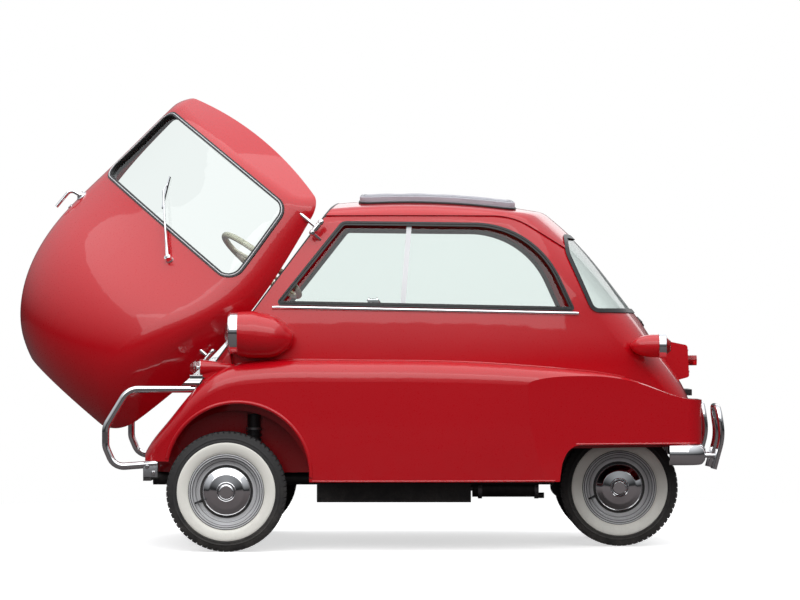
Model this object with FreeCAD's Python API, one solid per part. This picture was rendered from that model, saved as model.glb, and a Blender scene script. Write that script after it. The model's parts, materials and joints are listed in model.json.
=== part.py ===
import FreeCAD, Part
import functools
import math
import os

from FreeCAD import Vector as V

os.makedirs("parts", exist_ok=True)

# Bubble car, millimetres. X runs to the rear from the front axle, Y to the car's right, Z up from the floor.
# The one door is the whole front of the egg-shaped body. It is modelled shut and written out standing open.

# Wheels and axles
WHEELBASE = 1500
FRONT_TRACK = 1200
REAR_TRACK = 520
TYRE_R = 227
RIM_R = 141
HUBCAP_R = 90
STUB_R = 12
AXLE_R = 14
AXLE_Z = TYRE_R
FRONT_Y = FRONT_TRACK / 2
REAR_Y = REAR_TRACK / 2

# Steering
KINGPIN_Y = 492
KINGPIN_R = 13
KINGPIN_UP = 50
KINGPIN_DOWN = 70
STEER_ARM = 120
STEER_PIN_R = 6
TRACK_ROD_R = 8
COLUMN_LOW = V(-130, -330, 470)
COLUMN_HUB = V(330, -245, 905)
COLUMN_R = 11
COLUMN_JACKET_R = 22
WHEEL_RIM_R = 185
WHEEL_GRIP_R = 12

# Clearances: pieces that seat on each other, shafts in bores, door to body, door to what stands outside it
SEAT_GAP = 0.3
SHAFT_CLEAR = 0.05
EYE_CLEAR = 0.5
HINGE_CLEAR = 0.3
DOOR_GAP = 6
DOOR_CLEAR = 8

# Body
WALL = 30
DOOR_WALL = 42
TAIL_SKIRT_Z = 385
ROOF_TOP = 1345
ROOF_CROWN_R = 3000
ROOF_PEAK_X = 680
ROOF_EDGE_R = 85
EGG_WIDE_X = 640
BEYOND = 900

# Level sections of the egg: height, nose x, nose arc radius, front corner radius, half width,
# side arc radius, rear corner radius, tail arc radius, tail x
EGG = [
    (290, -340, 900, 170, 560, 2300, 180, 1500, 1745),
    (400, -418, 850, 200, 602, 2250, 190, 1500, 1788),
    (550, -452, 800, 230, 625, 2200, 200, 1500, 1792),
    (700, -420, 800, 240, 632, 2200, 210, 1400, 1712),
    (850, -300, 850, 220, 618, 2200, 220, 1300, 1612),
    (980, -120, 950, 190, 590, 2300, 230, 1200, 1515),
    (1120, 42, 1050, 160, 548, 2400, 230, 1100, 1405),
    (1250, 172, 1150, 140, 505, 2500, 230, 1000, 1275),
    (1390, 310, 1200, 120, 455, 2600, 230, 1000, 1110),
]

# The plane in which the body ends and the door begins, and the hinge line, both leaning back
OPENING_TOP = V(410, 0, 1330)
OPENING_LEAN = 36.6
HINGE_TOP = V(336.6, -535, 1224.3)
HINGE_LEAN = 40.0
HINGE_ARM = 85
HINGE_PIN_R = 6
HINGE_SLEEVE_R = 11
HINGE_BALL = 27
DOOR_OPEN = 48
# Places of the two hinges along their line, and how far inboard each body half's arm leans
HINGES = [(0, 60), (-640, 0)]

# Outlines of openings and panels: along or across, up, corner radius
SIDE_WINDOW = [(178, 930, 12), (432, 1250, 35), (1167, 1242, 360), (1322, 907, 12)]
REAR_WINDOW = [(1900, 902, 0), (1385, 902, 45), (1287, 1130, 100), (1283, 1207, 12), (1900, 1207, 0)]
ROOF_PANEL = [(200, 1272, 0), (1085, 1272, 280), (1290, 1147, 0), (1400, 1147, 0), (1400, 1500, 0),
              (200, 1500, 0)]
WINDSCREEN = [(-474, -376, 62), (-430, -6, 62), (430, -6, 62), (474, -376, 62)]
DOOR_OUTLINE = [(-620, -1115, 260), (-620, 400, 0), (620, 400, 0), (620, -1115, 260)]
SUNROOF = [(540, -315, 40), (540, 315, 40), (1055, 315, 40), (1055, -315, 40)]
FABRIC = [(497, -365, 60), (497, 365, 60), (1098, 365, 60), (1098, -365, 60)]
WINDOW_DIVIDER = [(684, 1300, 0), (703, 1300, 0), (671, 900, 0), (652, 900, 0)]
BELT = [(168, 913, 0), (168, 928, 6), (1334, 905, 6), (1334, 890, 0)]
GUTTER_W = 9
GUTTER_PROUD = 6
FABRIC_RISE = 30

# Window rubber and glass
RUBBER_W = 16
RUBBER_PROUD = 5
RUBBER_INSIDE = 4
GLASS = 5
GLASS_DEPTH = 12
REAR_GLASS_DEPTH = 4
DIVIDER_PROUD = 6
BELT_PROUD = 7

# Wings: sheet hulls with rounded shoulders, round front arches with a turned-in lip, and square rear cut-outs.
# Upright sections: x, outer y, top z, shoulder radius
WING = [
    (-312, 560, 372, 45),
    (-225, 628, 487, 55),
    (-128, 668, 604, 65),
    (-30, 688, 682, 75),
    (90, 696, 713, 80),
    (400, 699, 721, 80),
    (700, 699, 720, 80),
    (1000, 685, 708, 75),
    (1300, 656, 684, 65),
    (1550, 622, 641, 55),
    (1810, 583, 570, 45),
]
WING_FOOT_Z = 120
WING_TUCK = 14
SHEET = 6
ARCH_X = 45
ARCH_Z = 290
ARCH_R = 268
ARCH_LIP = 14
ARCH_FOOT_Z = 340
SILL_Z = 265
WING_CORNER = [(-400, 200, 0), (-400, 900, 0), (900, 900, 0), (900, 720, 0), (1320, 636, 0), (1802, 540, 70),
               (1802, 200, 0)]
REAR_ARCH_Z = 402
REAR_ARCH = [(1245, 200, 0), (1262, 330, 60), (1290, REAR_ARCH_Z, 70), (2000, REAR_ARCH_Z, 0), (2000, 200, 0)]
WING_INNER_Y = 300
WING_OUTER_Y = 900

# Front wheel housings inside the body
HOUSING_X = 30
HOUSING_Y = 405
HOUSING_Z = 245
HOUSING_R = 290

# Floor, shelf and seat
FLOOR_Z = 298
FLOOR_T = 10
FLOOR_BACK_X = 1130
SHELF_Z = 640
SHELF_T = 12
SEAT_FRONT_X = 640
SEAT_BACK_X = 980
SEAT_HALF_W = 520
SEAT_Z = 500
SEAT_T = 120
BACK_TOP_Z = 900
BACK_T = 95
BACK_HALF_W = 500
SEAT_TUBE = 11

# Frame, springs, engine
FRAME_Y = 300
FRAME_Z = 264
FRAME_R = 26
FRAME_FRONT_X = -300
FRAME_END_X = 1245
CROSS_R = 22
JACK_BEAM = (332, 927, 170)
BEAM_R = 24
STRUT_X = 95
STRUT_Y = 437
STRUT_R = 25
AXLE_TUBE_R = 30
LEAF_Y = 150
LEAF_W = 44
LEAF_T = 8
LEAF_COUNT = 3
ENGINE_BACK_X = 1440
ENGINE_Y = (-125, 180)
ENGINE_TOP_Z = 560
SILENCER_Y = -170

# Lamps
LAMP_X = 42
LAMP_Y = 616
LAMP_Z = 823
LAMP_R = 78
LAMP_LENS_R = 64
POD_DROP = 0.12
TURN_LAMP_X = -98
TURN_LAMP_Y = 612
TURN_LAMP_Z = 694
TURN_LAMP_R = 30
TAIL_LAMP_X = 1640
TAIL_LAMP_Y = 455
TAIL_LAMP_Z = 774
TAIL_LAMP_R = 44
PLATE_LAMP = [(1500, 800, 0), (1712, 790, 15), (1785, 775, 12), (1792, 650, 12), (1640, 610, 0)]
PLATE_LAMP_HALF_W = 62
PLATE_LENS_Z = 715
PLATE_LENS_R = 20
PLATE_HOLE_Y = 89
PLATE_HOLE_R = 3.5
PLATE_Z = 590
PLATE_BAR_X = 1799
PLATE_BAR_EDGE = 12

# Bumpers: tube bends as x, z, bend radius
HOOP_Y = 590
HOOP_R = 14
HOOP = [(-120, 612, 0), (-372, 612, 70), (-458, 470, 70), (-458, 395, 60), (-425, 318, 55), (-262, 330, 0)]
REAR_HOOP_Y = (220, 450)
REAR_HOOP_R = 12
REAR_HOOP = [(1850, 305, 0), (1884, 430, 200), (1868, 540, 55)]
REAR_BAR = [(1300, 100, 0), (1300, 636, 0), (1802, 540, 70), (1802, 100, 0)]
REAR_BAR_Z = (322, REAR_ARCH_Z - SEAT_GAP)
REAR_BAR_PROUD = 16
REAR_BAR_X = 1672
REAR_BAR_INNER_Y = 150
BRACKET_X = (-316, -260)
BRACKET_Z = (276, 338)
BRACKET_T = 20
BRACKET_ARM_X = (-316, -286)
BRACKET_ARM_Z = (266, 279)

# Door furniture: places across the door and along the hinge line
HANDLE_AT = (455, -500)
HANDLE_R = 7
HANDLE_REACH = 52
HANDLE_DROP = 88
WIPER_FOOT = (-215, -455)
WIPER_TIP = (60, -270)
WIPER_R = 4
MIRROR_AT = (0, 30)
MIRROR_SIZE = (14, 150, 52)
DASH_Z = 905
DASH_T = 14
DASH_HALF_W = 420
DASH_DEPTH = 85

# Wheel sections: distance out from the middle of the tyre, radius, corner radius; None stands for the bore
TYRE = [(-50, RIM_R + SEAT_GAP, 0), (-61, 178, 30), (-50, TYRE_R, 24), (50, TYRE_R, 24), (61, 178, 30),
        (50, RIM_R + SEAT_GAP, 0), (42, RIM_R + SEAT_GAP, 0), (48, 205, 25), (-48, 205, 25),
        (-42, RIM_R + SEAT_GAP, 0)]
RIM = [(-52, RIM_R, 0), (-52, 126, 0), (-20, 108, 10), (8, 108, 8), (14, 45, 0), (-40, 45, 0), (-40, None, 0),
       (30, None, 0), (30, 52, 0), (20, 66, 8), (20, 112, 8), (40, 126, 5), (52, 130, 0), (52, RIM_R, 0)]
HUBCAP = [(30.3, 20, 0), (30.3, 62, 0), (26, 66, 0), (26, HUBCAP_R, 0), (31, HUBCAP_R, 0), (46, 66, 14), (51, 32, 8),
          (58, 24, 6), (58, 0, 0), (48, 0, 0), (45, 20, 0)]
HINGE_POST = [(-38, 0, 0), (-38, 11, 10.9), (-16, 11, 5), (-16, HINGE_PIN_R, 0), (16, HINGE_PIN_R, 0),
              (16, 11, 5), (38, 11, 10.9), (38, 0, 0)]
POD = [(-20, 78, 0), (50, 91, 100), (150, 78, 110), (207, 25, 30), (207, 0, 0), (-20, 0, 0)]
LAMP_RING = [(-32, LAMP_LENS_R, 0), (-32, LAMP_R, 6), (-SEAT_GAP, LAMP_R + 2, 0), (-SEAT_GAP, LAMP_LENS_R, 0)]

UP = V(0, 0, 1)
BACK = V(1, 0, 0)


def polar(centre, radius, angle):
    return V(centre.x + radius * math.cos(angle), centre.y + radius * math.sin(angle), centre.z)


def corner_centre(x_end, r_end, x_side, y_side, r_side, r_corner, front):
    """Centre of the corner arc that is tangent inside an end arc and a side arc."""
    a = r_end - r_corner
    b = r_side - r_corner
    dx = x_side - x_end
    d = math.hypot(dx, y_side)
    along = (a * a - b * b + d * d) / (2 * d)
    across = math.sqrt(a * a - along * along)
    ex, ey = dx / d, y_side / d
    options = [(x_end + along * ex - across * ey, along * ey + across * ex),
               (x_end + along * ex + across * ey, along * ey - across * ex)]
    options = [o for o in options if o[1] > 0]
    return min(options) if front else max(options)


def egg_wire(row, inset):
    z, nose, r_nose, r_front, half, r_side, r_rear, r_tail, tail = row
    x_nose = nose + r_nose
    x_tail = tail - r_tail
    y_side = half - r_side
    fx, fy = corner_centre(x_nose, r_nose, EGG_WIDE_X, y_side, r_side, r_front, True)
    rx, ry = corner_centre(x_tail, r_tail, EGG_WIDE_X, y_side, r_side, r_rear, False)
    side_start = math.atan2(fy - y_side, fx - EGG_WIDE_X)
    side_end = math.atan2(ry - y_side, rx - EGG_WIDE_X)
    front_end = math.atan2(fy, fx - x_nose)
    tail_start = math.atan2(ry, rx - x_tail)
    arcs = [
        (V(x_nose, 0, z), r_nose, math.pi, front_end),
        (V(fx, fy, z), r_front, front_end, side_start),
        (V(EGG_WIDE_X, y_side, z), r_side, side_start, side_end),
        (V(rx, ry, z), r_rear, side_end, tail_start),
        (V(x_tail, 0, z), r_tail, tail_start, 0),
    ]
    right = []
    for centre, radius, start, end in arcs:
        r = radius - inset
        ends = [polar(centre, r, angle) for angle in (start, (start + end) / 2, end)]
        right.append(Part.Arc(*ends).toShape())
    left = [e.mirror(V(0, 0, 0), V(0, 1, 0)) for e in right]
    return Part.Wire(Part.__sortEdges__(right + left[::-1]))


@functools.lru_cache(maxsize=None)
def egg(inset=0.0):
    """The whole closed body, door included, drawn in by inset all round except at its open floor."""
    column = Part.makeLoft([egg_wire(row, inset) for row in EGG], True, False)
    crown = ROOF_CROWN_R - inset
    solid = column.common(Part.makeSphere(crown, V(ROOF_PEAK_X, 0, ROOF_TOP - ROOF_CROWN_R)))
    if inset >= ROOF_EDGE_R:
        return solid
    roof_edges = []
    for e in solid.Edges:
        radii = [getattr(f.Surface, "Radius", 0) for f in solid.ancestorsOfType(e, Part.Face)]
        if e.Length > ROOF_EDGE_R and any(abs(r - crown) < 1 for r in radii):
            roof_edges.append(e)
    return solid.makeFillet(ROOF_EDGE_R - inset, roof_edges)


@functools.lru_cache(maxsize=None)
def skin(outer, inner):
    """A layer of the body between two depths below the outer surface."""
    return egg(outer).cut(egg(inner))


def corner(before, at, after, radius):
    """Start, middle and end of the arc that rounds one corner of a path."""
    back = before - at
    on = after - at
    back.normalize()
    on.normalize()
    half = back.getAngle(on) / 2
    reach = radius / math.tan(half)
    bisector = back + on
    bisector.normalize()
    return at + back * reach, at + bisector * (radius / math.sin(half) - radius), at + on * reach


def rounded_wire(points, place):
    """Closed wire through (a, b, corner radius) points, with place(a, b) giving the position."""
    flat = [V(a, b, 0) for a, b, r in points]
    edges = []
    ends = []
    for i, (a, b, r) in enumerate(points):
        if r <= 0:
            ends.append((flat[i], flat[i]))
            continue
        arc = corner(flat[i - 1], flat[i], flat[(i + 1) % len(flat)], r)
        ends.append((arc[0], arc[2]))
        edges.append(Part.Arc(*[place(p.x, p.y) for p in arc]).toShape())
    for i, (start, end) in enumerate(ends):
        following = ends[(i + 1) % len(ends)][0]
        if (following - end).Length > 1e-6:
            edges.append(Part.makeLine(place(end.x, end.y), place(following.x, following.y)))
    return Part.Wire(Part.__sortEdges__(edges))


def prism(points, place, along, grow):
    """Solid of an outline swept along a vector, with the outline moved outwards by grow."""
    wire = rounded_wire(points, place)
    if grow:
        wire = wire.makeOffset2D(grow)
    return Part.Face(wire).extrude(along)


def side_prism(points, y0, y1, grow=0.0):
    return prism(points, lambda x, z: V(x, y0, z), V(0, y1 - y0, 0), grow)


def across_prism(points, grow=0.0):
    """A side outline swept right across the car."""
    return side_prism(points, -BEYOND, BEYOND, grow)


def plan_prism(points, z0, z1, grow=0.0):
    return prism(points, lambda x, y: V(x, y, z0), V(0, 0, z1 - z0), grow)


def box(x0, x1, y0, y1, z0, z1):
    return Part.makeBox(x1 - x0, y1 - y0, z1 - z0, V(x0, y0, z0))


def rod(start, end, radius):
    return Part.makeCylinder(radius, (end - start).Length, start, end - start)


def tube(start, end, outer, inner):
    return rod(start, end, outer).cut(rod(start, end, inner))


def mirrored(shape):
    return shape.mirror(V(0, 0, 0), V(0, 1, 0))


def both_sides(shape):
    return Part.makeCompound([shape, mirrored(shape)])


def one_side(shape, side):
    return shape if side > 0 else mirrored(shape)


def largest(shape):
    return max(shape.Solids, key=lambda part: part.Volume)


def nearest(shape, point):
    return min(shape.Solids, key=lambda part: (part.CenterOfMass - point).Length)


def bent_tube(points, radius):
    """A round tube along straight runs with tangent bends: (position, bend radius) pairs."""
    runs = []
    last = points[0][0]
    for i in range(1, len(points) - 1):
        arc = corner(points[i - 1][0], points[i][0], points[i + 1][0], points[i][1])
        if (arc[0] - last).Length > 1e-6:
            runs.append(Part.makeLine(last, arc[0]))
        runs.append(Part.Arc(*arc).toShape())
        last = arc[2]
    runs.append(Part.makeLine(last, points[-1][0]))
    start = points[0][0]
    ring = Part.Wire(Part.makeCircle(radius, start, points[1][0] - start))
    return Part.Wire(runs).makePipeShell([ring], True, False)


def revolved(points, origin, axis, radial=UP):
    """Solid of revolution from (along, radius, corner radius) points."""
    wire = rounded_wire(points, lambda along, r: origin + axis * along + radial * r)
    return Part.Face(wire).revolve(origin, axis, 360)


def save(name, shape):
    solids = shape.Solids
    result = solids[0] if len(solids) == 1 else Part.makeCompound(solids)
    if not solids or not result.isValid():
        raise ValueError(name + " has no valid solid")
    result.exportStep("parts/" + name + ".step")
    print(name, len(solids), "solids,", round(result.Volume / 1e3), "cm3")


def hinge_axis():
    lean = math.radians(HINGE_LEAN)
    return V(math.sin(lean), 0, math.cos(lean))


def hinge_forward():
    lean = math.radians(HINGE_LEAN)
    return V(-math.cos(lean), 0, math.sin(lean))


def opened(shape):
    """The door or a piece on it, as it stands open."""
    turned = shape.copy()
    turned.rotate(HINGE_TOP, hinge_axis(), DOOR_OPEN)
    return turned


def ahead_of_opening(offset):
    """All space ahead of the plane between body and door, moved forwards by offset."""
    block = Part.makeBox(2000, 3000, 4000, V(-2000 - offset, -1500, -2500))
    block.rotate(V(0, 0, 0), V(0, 1, 0), OPENING_LEAN)
    block.translate(OPENING_TOP)
    return block


def behind_opening(shape):
    return shape.cut(ahead_of_opening(-DOOR_GAP / 2))


def on_door(y, t, s=0.0):
    """A point by its Y, its distance up the hinge line and its distance ahead of it, door shut."""
    return V(HINGE_TOP.x, y, HINGE_TOP.z) + hinge_axis() * t + hinge_forward() * s


def door_prism(points, grow=0.0, depth=700, behind=150):
    return prism(points, lambda y, t: on_door(y, t, -behind), hinge_forward() * (depth + behind), grow)


@functools.lru_cache(maxsize=None)
def door_room():
    return egg(-DOOR_CLEAR).common(ahead_of_opening(-DOOR_GAP))


def outside_body(shape):
    """What is left of a fitting outside the body's skin, with room for the door to shut."""
    return largest(shape.cut(egg(-SEAT_GAP)).cut(door_room()))


def beside_open_door(shape):
    """A headlamp piece with room for the left side's open door cut from it."""
    return outside_body(shape.cut(mirrored(opened(door_room()))))


# Body panels

def housing_space(side, grow):
    """The room that a front wheel needs: a round top over an open bottom, out from the housing's inner wall."""
    r = HOUSING_R + grow
    y0, y1 = sorted((side * (HOUSING_Y - grow), side * BEYOND))
    round_top = Part.makeCylinder(r, y1 - y0, V(HOUSING_X, y0, HOUSING_Z), V(0, 1, 0))
    return round_top.fuse(box(HOUSING_X - r, HOUSING_X + r, y0, y1, 100, HOUSING_Z))


def plate_holes():
    hole = rod(V(1700, PLATE_HOLE_Y, PLATE_Z), V(1900, PLATE_HOLE_Y, PLATE_Z), PLATE_HOLE_R)
    return both_sides(hole)


def body_shell():
    shell = behind_opening(skin(0, WALL)).cut(across_prism(ROOF_PANEL))
    shell = shell.cut(across_prism(SIDE_WINDOW)).cut(across_prism(REAR_WINDOW))
    shell = shell.cut(box(FLOOR_BACK_X, 2000, -BEYOND, BEYOND, 200, TAIL_SKIRT_Z))
    for side in (-1, 1):
        shell = shell.cut(housing_space(side, 0))
    return shell.cut(plate_holes())


def roof_panel():
    """The roof with its sunroof hole and a rain gutter along its lower edge."""
    panel = across_prism(ROOF_PANEL)
    lower_edge = panel.cut(across_prism(ROOF_PANEL, -GUTTER_W))
    roof = skin(0, WALL).common(panel).fuse(skin(-GUTTER_PROUD, WALL / 2).common(lower_edge))
    roof = behind_opening(roof).cut(across_prism(REAR_WINDOW)).cut(across_prism(SIDE_WINDOW))
    roof = roof.cut(plan_prism(SUNROOF, ROOF_TOP - 150, ROOF_TOP + 150))
    return largest(roof)


def fabric_roof():
    return skin(-FABRIC_RISE, -SEAT_GAP).common(plan_prism(FABRIC, ROOF_TOP - 150, ROOF_TOP + 150))


def window_rubbers():
    rings = []
    for outline in (SIDE_WINDOW, REAR_WINDOW):
        ring = across_prism(outline, -SEAT_GAP).cut(across_prism(outline, -RUBBER_W))
        rings.append(skin(-RUBBER_PROUD, WALL + RUBBER_INSIDE).common(ring))
    return Part.makeCompound(rings)


def window_pane(outline, depth):
    return skin(depth, depth + GLASS).common(across_prism(outline, -RUBBER_W - SEAT_GAP))


def rear_window():
    return window_pane(REAR_WINDOW, REAR_GLASS_DEPTH)


def side_windows():
    return window_pane(SIDE_WINDOW, GLASS_DEPTH).cut(across_prism(WINDOW_DIVIDER, SEAT_GAP))


def window_dividers():
    bars = skin(GLASS_DEPTH - DIVIDER_PROUD, GLASS_DEPTH + GLASS + DIVIDER_PROUD)
    return bars.common(across_prism(SIDE_WINDOW, -RUBBER_W - SEAT_GAP)).common(across_prism(WINDOW_DIVIDER))


def belt_trims():
    strips = skin(-BELT_PROUD, -SEAT_GAP).common(across_prism(BELT)).cut(across_prism(SIDE_WINDOW, SEAT_GAP))
    return behind_opening(strips)


def arch_space(grow):
    centre = V(ARCH_X, WING_INNER_Y, ARCH_Z)
    round_top = Part.makeCylinder(ARCH_R + grow, WING_OUTER_Y - WING_INNER_Y, centre, V(0, 1, 0))
    below = box(FRAME_FRONT_X - ARCH_R, ARCH_X + ARCH_R + grow, WING_INNER_Y, WING_OUTER_Y, 0, ARCH_FOOT_Z)
    return round_top.fuse(below)


def wing_section(row, inset):
    """Upright section of a wing: straight top, rounded shoulder, and a side that tucks in a little to its foot."""
    x, y, z, r = row
    y, z, r = y - inset, z - inset, r - inset
    drop = z - r - WING_FOOT_Z
    side_r = (drop * drop + WING_TUCK * WING_TUCK) / (2 * WING_TUCK)
    half_turn = math.asin(drop / side_r) / 2
    slope = r * math.sqrt(0.5)
    shoulder = V(x, y - r + slope, z - r + slope)
    belly = V(x, y - side_r + side_r * math.cos(half_turn), z - r - side_r * math.sin(half_turn))
    foot = V(x, y - WING_TUCK, WING_FOOT_Z)
    edges = [
        Part.makeLine(V(x, WING_INNER_Y, z), V(x, y - r, z)),
        Part.Arc(V(x, y - r, z), shoulder, V(x, y, z - r)).toShape(),
        Part.Arc(V(x, y, z - r), belly, foot).toShape(),
        Part.makeLine(foot, V(x, WING_INNER_Y, WING_FOOT_Z)),
        Part.makeLine(V(x, WING_INNER_Y, WING_FOOT_Z), V(x, WING_INNER_Y, z)),
    ]
    return Part.Wire(edges)


def wing_form(inset):
    """One wing's closed outer form, drawn in by inset."""
    hull = Part.makeLoft([wing_section(row, inset) for row in WING], True, False)
    front = box(WING[0][0] + inset, 2000, 0, BEYOND, 0, BEYOND)
    return hull.common(front).common(plan_prism(WING_CORNER, 0, BEYOND, -inset))


@functools.lru_cache(maxsize=None)
def wing():
    """The right wing, from over the front wheel to the tail: thin sheet, open below, with a front arch lip."""
    outer = wing_form(0)
    below_sill = box(-1000, 3000, 0, BEYOND, 0, SILL_Z)
    hull = outer.cut(wing_form(SHEET)).cut(arch_space(0)).cut(side_prism(REAR_ARCH, WING_INNER_Y, BEYOND))
    lip = outer.cut(wing_form(ARCH_LIP)).common(arch_space(SHEET)).cut(arch_space(0))
    return outside_body(hull.fuse(lip).cut(below_sill))


def wing_left():
    return mirrored(wing())


def wing_right():
    return wing()


def wheel_housings():
    inside = behind_opening(egg(WALL + SEAT_GAP))
    parts = []
    for side in (-1, 1):
        parts += housing_space(side, 0).cut(housing_space(side, -SHEET)).common(inside).Solids
    return Part.makeCompound(parts)


def floor_pan():
    plate = egg(WALL + SEAT_GAP).common(box(-600, FLOOR_BACK_X, -BEYOND, BEYOND, FLOOR_Z, FLOOR_Z + FLOOR_T))
    plate = behind_opening(plate)
    for side in (-1, 1):
        plate = plate.cut(housing_space(side, SEAT_GAP))
    return plate


def rear_shelf():
    room = egg(WALL + SEAT_GAP)
    front = FLOOR_BACK_X - FLOOR_T
    shelf = room.common(box(front, 1900, -BEYOND, BEYOND, SHELF_Z, SHELF_Z + SHELF_T))
    bulkhead = room.common(box(front, FLOOR_BACK_X, -BEYOND, BEYOND, FLOOR_Z + FLOOR_T, SHELF_Z))
    return shelf.fuse(bulkhead).removeSplitter()


# Seat

def seat_cushion():
    block = box(SEAT_FRONT_X, SEAT_BACK_X, -SEAT_HALF_W, SEAT_HALF_W, SEAT_Z, SEAT_Z + SEAT_T)
    return block.makeFillet(35, [e for e in block.Edges if e.BoundBox.ZMin > SEAT_Z + 1])


def seat_back():
    x = SEAT_BACK_X + 5
    outline = [(x, SEAT_Z, 30), (x + 80, BACK_TOP_Z, 40), (x + 80 + BACK_T - 10, BACK_TOP_Z, 40),
               (x + BACK_T + 5, SEAT_Z, 30)]
    return side_prism(outline, -BACK_HALF_W, BACK_HALF_W)


def seat_frame():
    """Legs, side rails and cross rails under the bench."""
    top = SEAT_Z - SEAT_GAP
    half_w = SEAT_HALF_W - 60
    xs = (SEAT_FRONT_X + 40, SEAT_BACK_X + 40)
    pieces = []
    for y in (-half_w, half_w):
        pieces += [rod(V(x, y, FLOOR_Z + FLOOR_T), V(x, y, top - SEAT_TUBE), SEAT_TUBE) for x in xs]
        pieces.append(box(SEAT_FRONT_X + 10, SEAT_BACK_X + 90, y - 14, y + 14, top - 24, top))
    pieces += [box(x - 14, x + 14, -half_w, half_w, top - 24, top) for x in xs]
    return pieces[0].multiFuse(pieces[1:]).removeSplitter()


# Frame and running gear below the floor

@functools.lru_cache(maxsize=None)
def chassis_frame():
    z = FRAME_Z
    start, end, bottom = JACK_BEAM
    pieces = []
    for y in (-FRAME_Y, FRAME_Y):
        pieces.append(rod(V(FRAME_FRONT_X, y, z), V(FRAME_END_X, y, z), FRAME_R))
        pieces.append(box(start, end, y - 15, y + 15, bottom, z + 20))
    for x in (FRAME_FRONT_X + 30, 300, 900, FRAME_END_X - FRAME_R):
        pieces.append(rod(V(x, -FRAME_Y, z), V(x, FRAME_Y, z), CROSS_R))
    return pieces[0].multiFuse(pieces[1:]).removeSplitter()


def front_beam():
    """Cross tube that carries the kingpins, and the upright spring tubes behind the wheels."""
    z = AXLE_Z - 14
    beam = rod(V(0, -KINGPIN_Y, z), V(0, KINGPIN_Y, z), BEAM_R)
    for side in (-1, 1):
        y = side * KINGPIN_Y
        beam = beam.fuse(rod(V(0, y, z - 28), V(0, y, z + 36), BEAM_R + 1))
        beam = beam.cut(rod(V(0, y, 100), V(0, y, 400), KINGPIN_R + SHAFT_CLEAR))
        beam = beam.fuse(box(-16, 16, side * FRAME_Y - 12, side * FRAME_Y + 12, AXLE_Z, FRAME_Z - 5))
        reach = STRUT_X + STRUT_R - HOUSING_X
        top = HOUSING_Z + math.sqrt((HOUSING_R - SHEET) ** 2 - reach * reach) - SEAT_GAP
        y0, y1 = sorted((side * FRAME_Y, side * STRUT_Y))
        strut = rod(V(STRUT_X, side * STRUT_Y, AXLE_Z + 40), V(STRUT_X, side * STRUT_Y, top), STRUT_R)
        beam = beam.multiFuse([strut, box(STRUT_X - 20, STRUT_X + 20, y0, y1, AXLE_Z + 43, AXLE_Z + 61)])
    return beam.removeSplitter().cut(chassis_frame())


def knuckle(side):
    """Kingpin in two ears, upright, stub axle and steering arm of one front wheel."""
    y = KINGPIN_Y
    hub_y = FRONT_Y - 52
    low, high = AXLE_Z - KINGPIN_DOWN + 2, AXLE_Z + KINGPIN_UP - 22
    pieces = [rod(V(0, y, z), V(0, y, z + 20), 24) for z in (low, high)]
    pieces += [box(-20, 20, y, hub_y - 6, z, z + 20) for z in (low, high)]
    pieces.append(box(-24, 24, hub_y - 22, hub_y - 6, low, high + 20))
    pieces.append(rod(V(0, hub_y - 20, AXLE_Z), V(0, FRONT_Y + 28, AXLE_Z), STUB_R))
    pieces.append(box(0, STEER_ARM + 14, y - 14, y + 14, low, low + 14))
    pieces.append(rod(V(STEER_ARM, y, low + 14), V(STEER_ARM, y, low + 48), STEER_PIN_R))
    pin = rod(V(0, y, AXLE_Z - KINGPIN_DOWN), V(0, y, AXLE_Z + KINGPIN_UP), KINGPIN_R)
    return one_side(pin.multiFuse(pieces).removeSplitter(), side)


def track_rod():
    """Rod between the two steering arms, with an eye on each arm's pin."""
    z = AXLE_Z - 40
    bar = rod(V(STEER_ARM, -KINGPIN_Y, z), V(STEER_ARM, KINGPIN_Y, z), TRACK_ROD_R)
    for y, clear in ((-KINGPIN_Y, SHAFT_CLEAR), (KINGPIN_Y, EYE_CLEAR)):
        bar = bar.fuse(rod(V(STEER_ARM, y, z - 10), V(STEER_ARM, y, z + 10), STEER_PIN_R + TRACK_ROD_R))
        bar = bar.cut(rod(V(STEER_ARM, y, z - 20), V(STEER_ARM, y, z + 20), STEER_PIN_R + clear))
    return bar


def wheel_piece(profile, x, y, side, bore=0):
    """A ring about a wheel's axle, from a section table."""
    points = [(along, bore if r is None else r, rounding) for along, r, rounding in profile]
    return revolved(points, V(x, side * y, AXLE_Z), V(0, side, 0))


def rear_pair(profile):
    return Part.makeCompound([wheel_piece(profile, WHEELBASE, REAR_Y, side) for side in (-1, 1)])


def rear_rims():
    """Both rear rims on their one axle."""
    reach = REAR_Y + 26
    axle = rod(V(WHEELBASE, -reach, AXLE_Z), V(WHEELBASE, reach, AXLE_Z), AXLE_R)
    return axle.multiFuse([wheel_piece(RIM, WHEELBASE, REAR_Y, side, AXLE_R) for side in (-1, 1)])


def rear_carrier():
    """Axle tube with the chain case."""
    reach = REAR_Y - 62
    case = tube(V(WHEELBASE, -reach, AXLE_Z), V(WHEELBASE, reach, AXLE_Z), AXLE_TUBE_R, AXLE_R + SHAFT_CLEAR)
    top = FRAME_Z + 20
    chain = side_prism([(1250, 175, 40), (1250, top, 40), (1560, top, 55), (1560, 165, 55)], 20, 70)
    return case.fuse(chain.cut(rod(V(WHEELBASE, -200, AXLE_Z), V(WHEELBASE, 200, AXLE_Z), AXLE_TUBE_R)))


def leaf_springs():
    leaves = []
    for i in range(LEAF_COUNT):
        z = AXLE_Z + AXLE_TUBE_R + SEAT_GAP + LEAF_T * i
        end = WHEELBASE + 30 - 55 * i
        leaves.append(box(FRAME_END_X - 30, end, LEAF_Y - LEAF_W / 2, LEAF_Y + LEAF_W / 2, z, z + LEAF_T))
    spring = leaves[0].multiFuse(leaves[1:]).removeSplitter().cut(chassis_frame())
    return both_sides(largest(spring))


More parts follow.
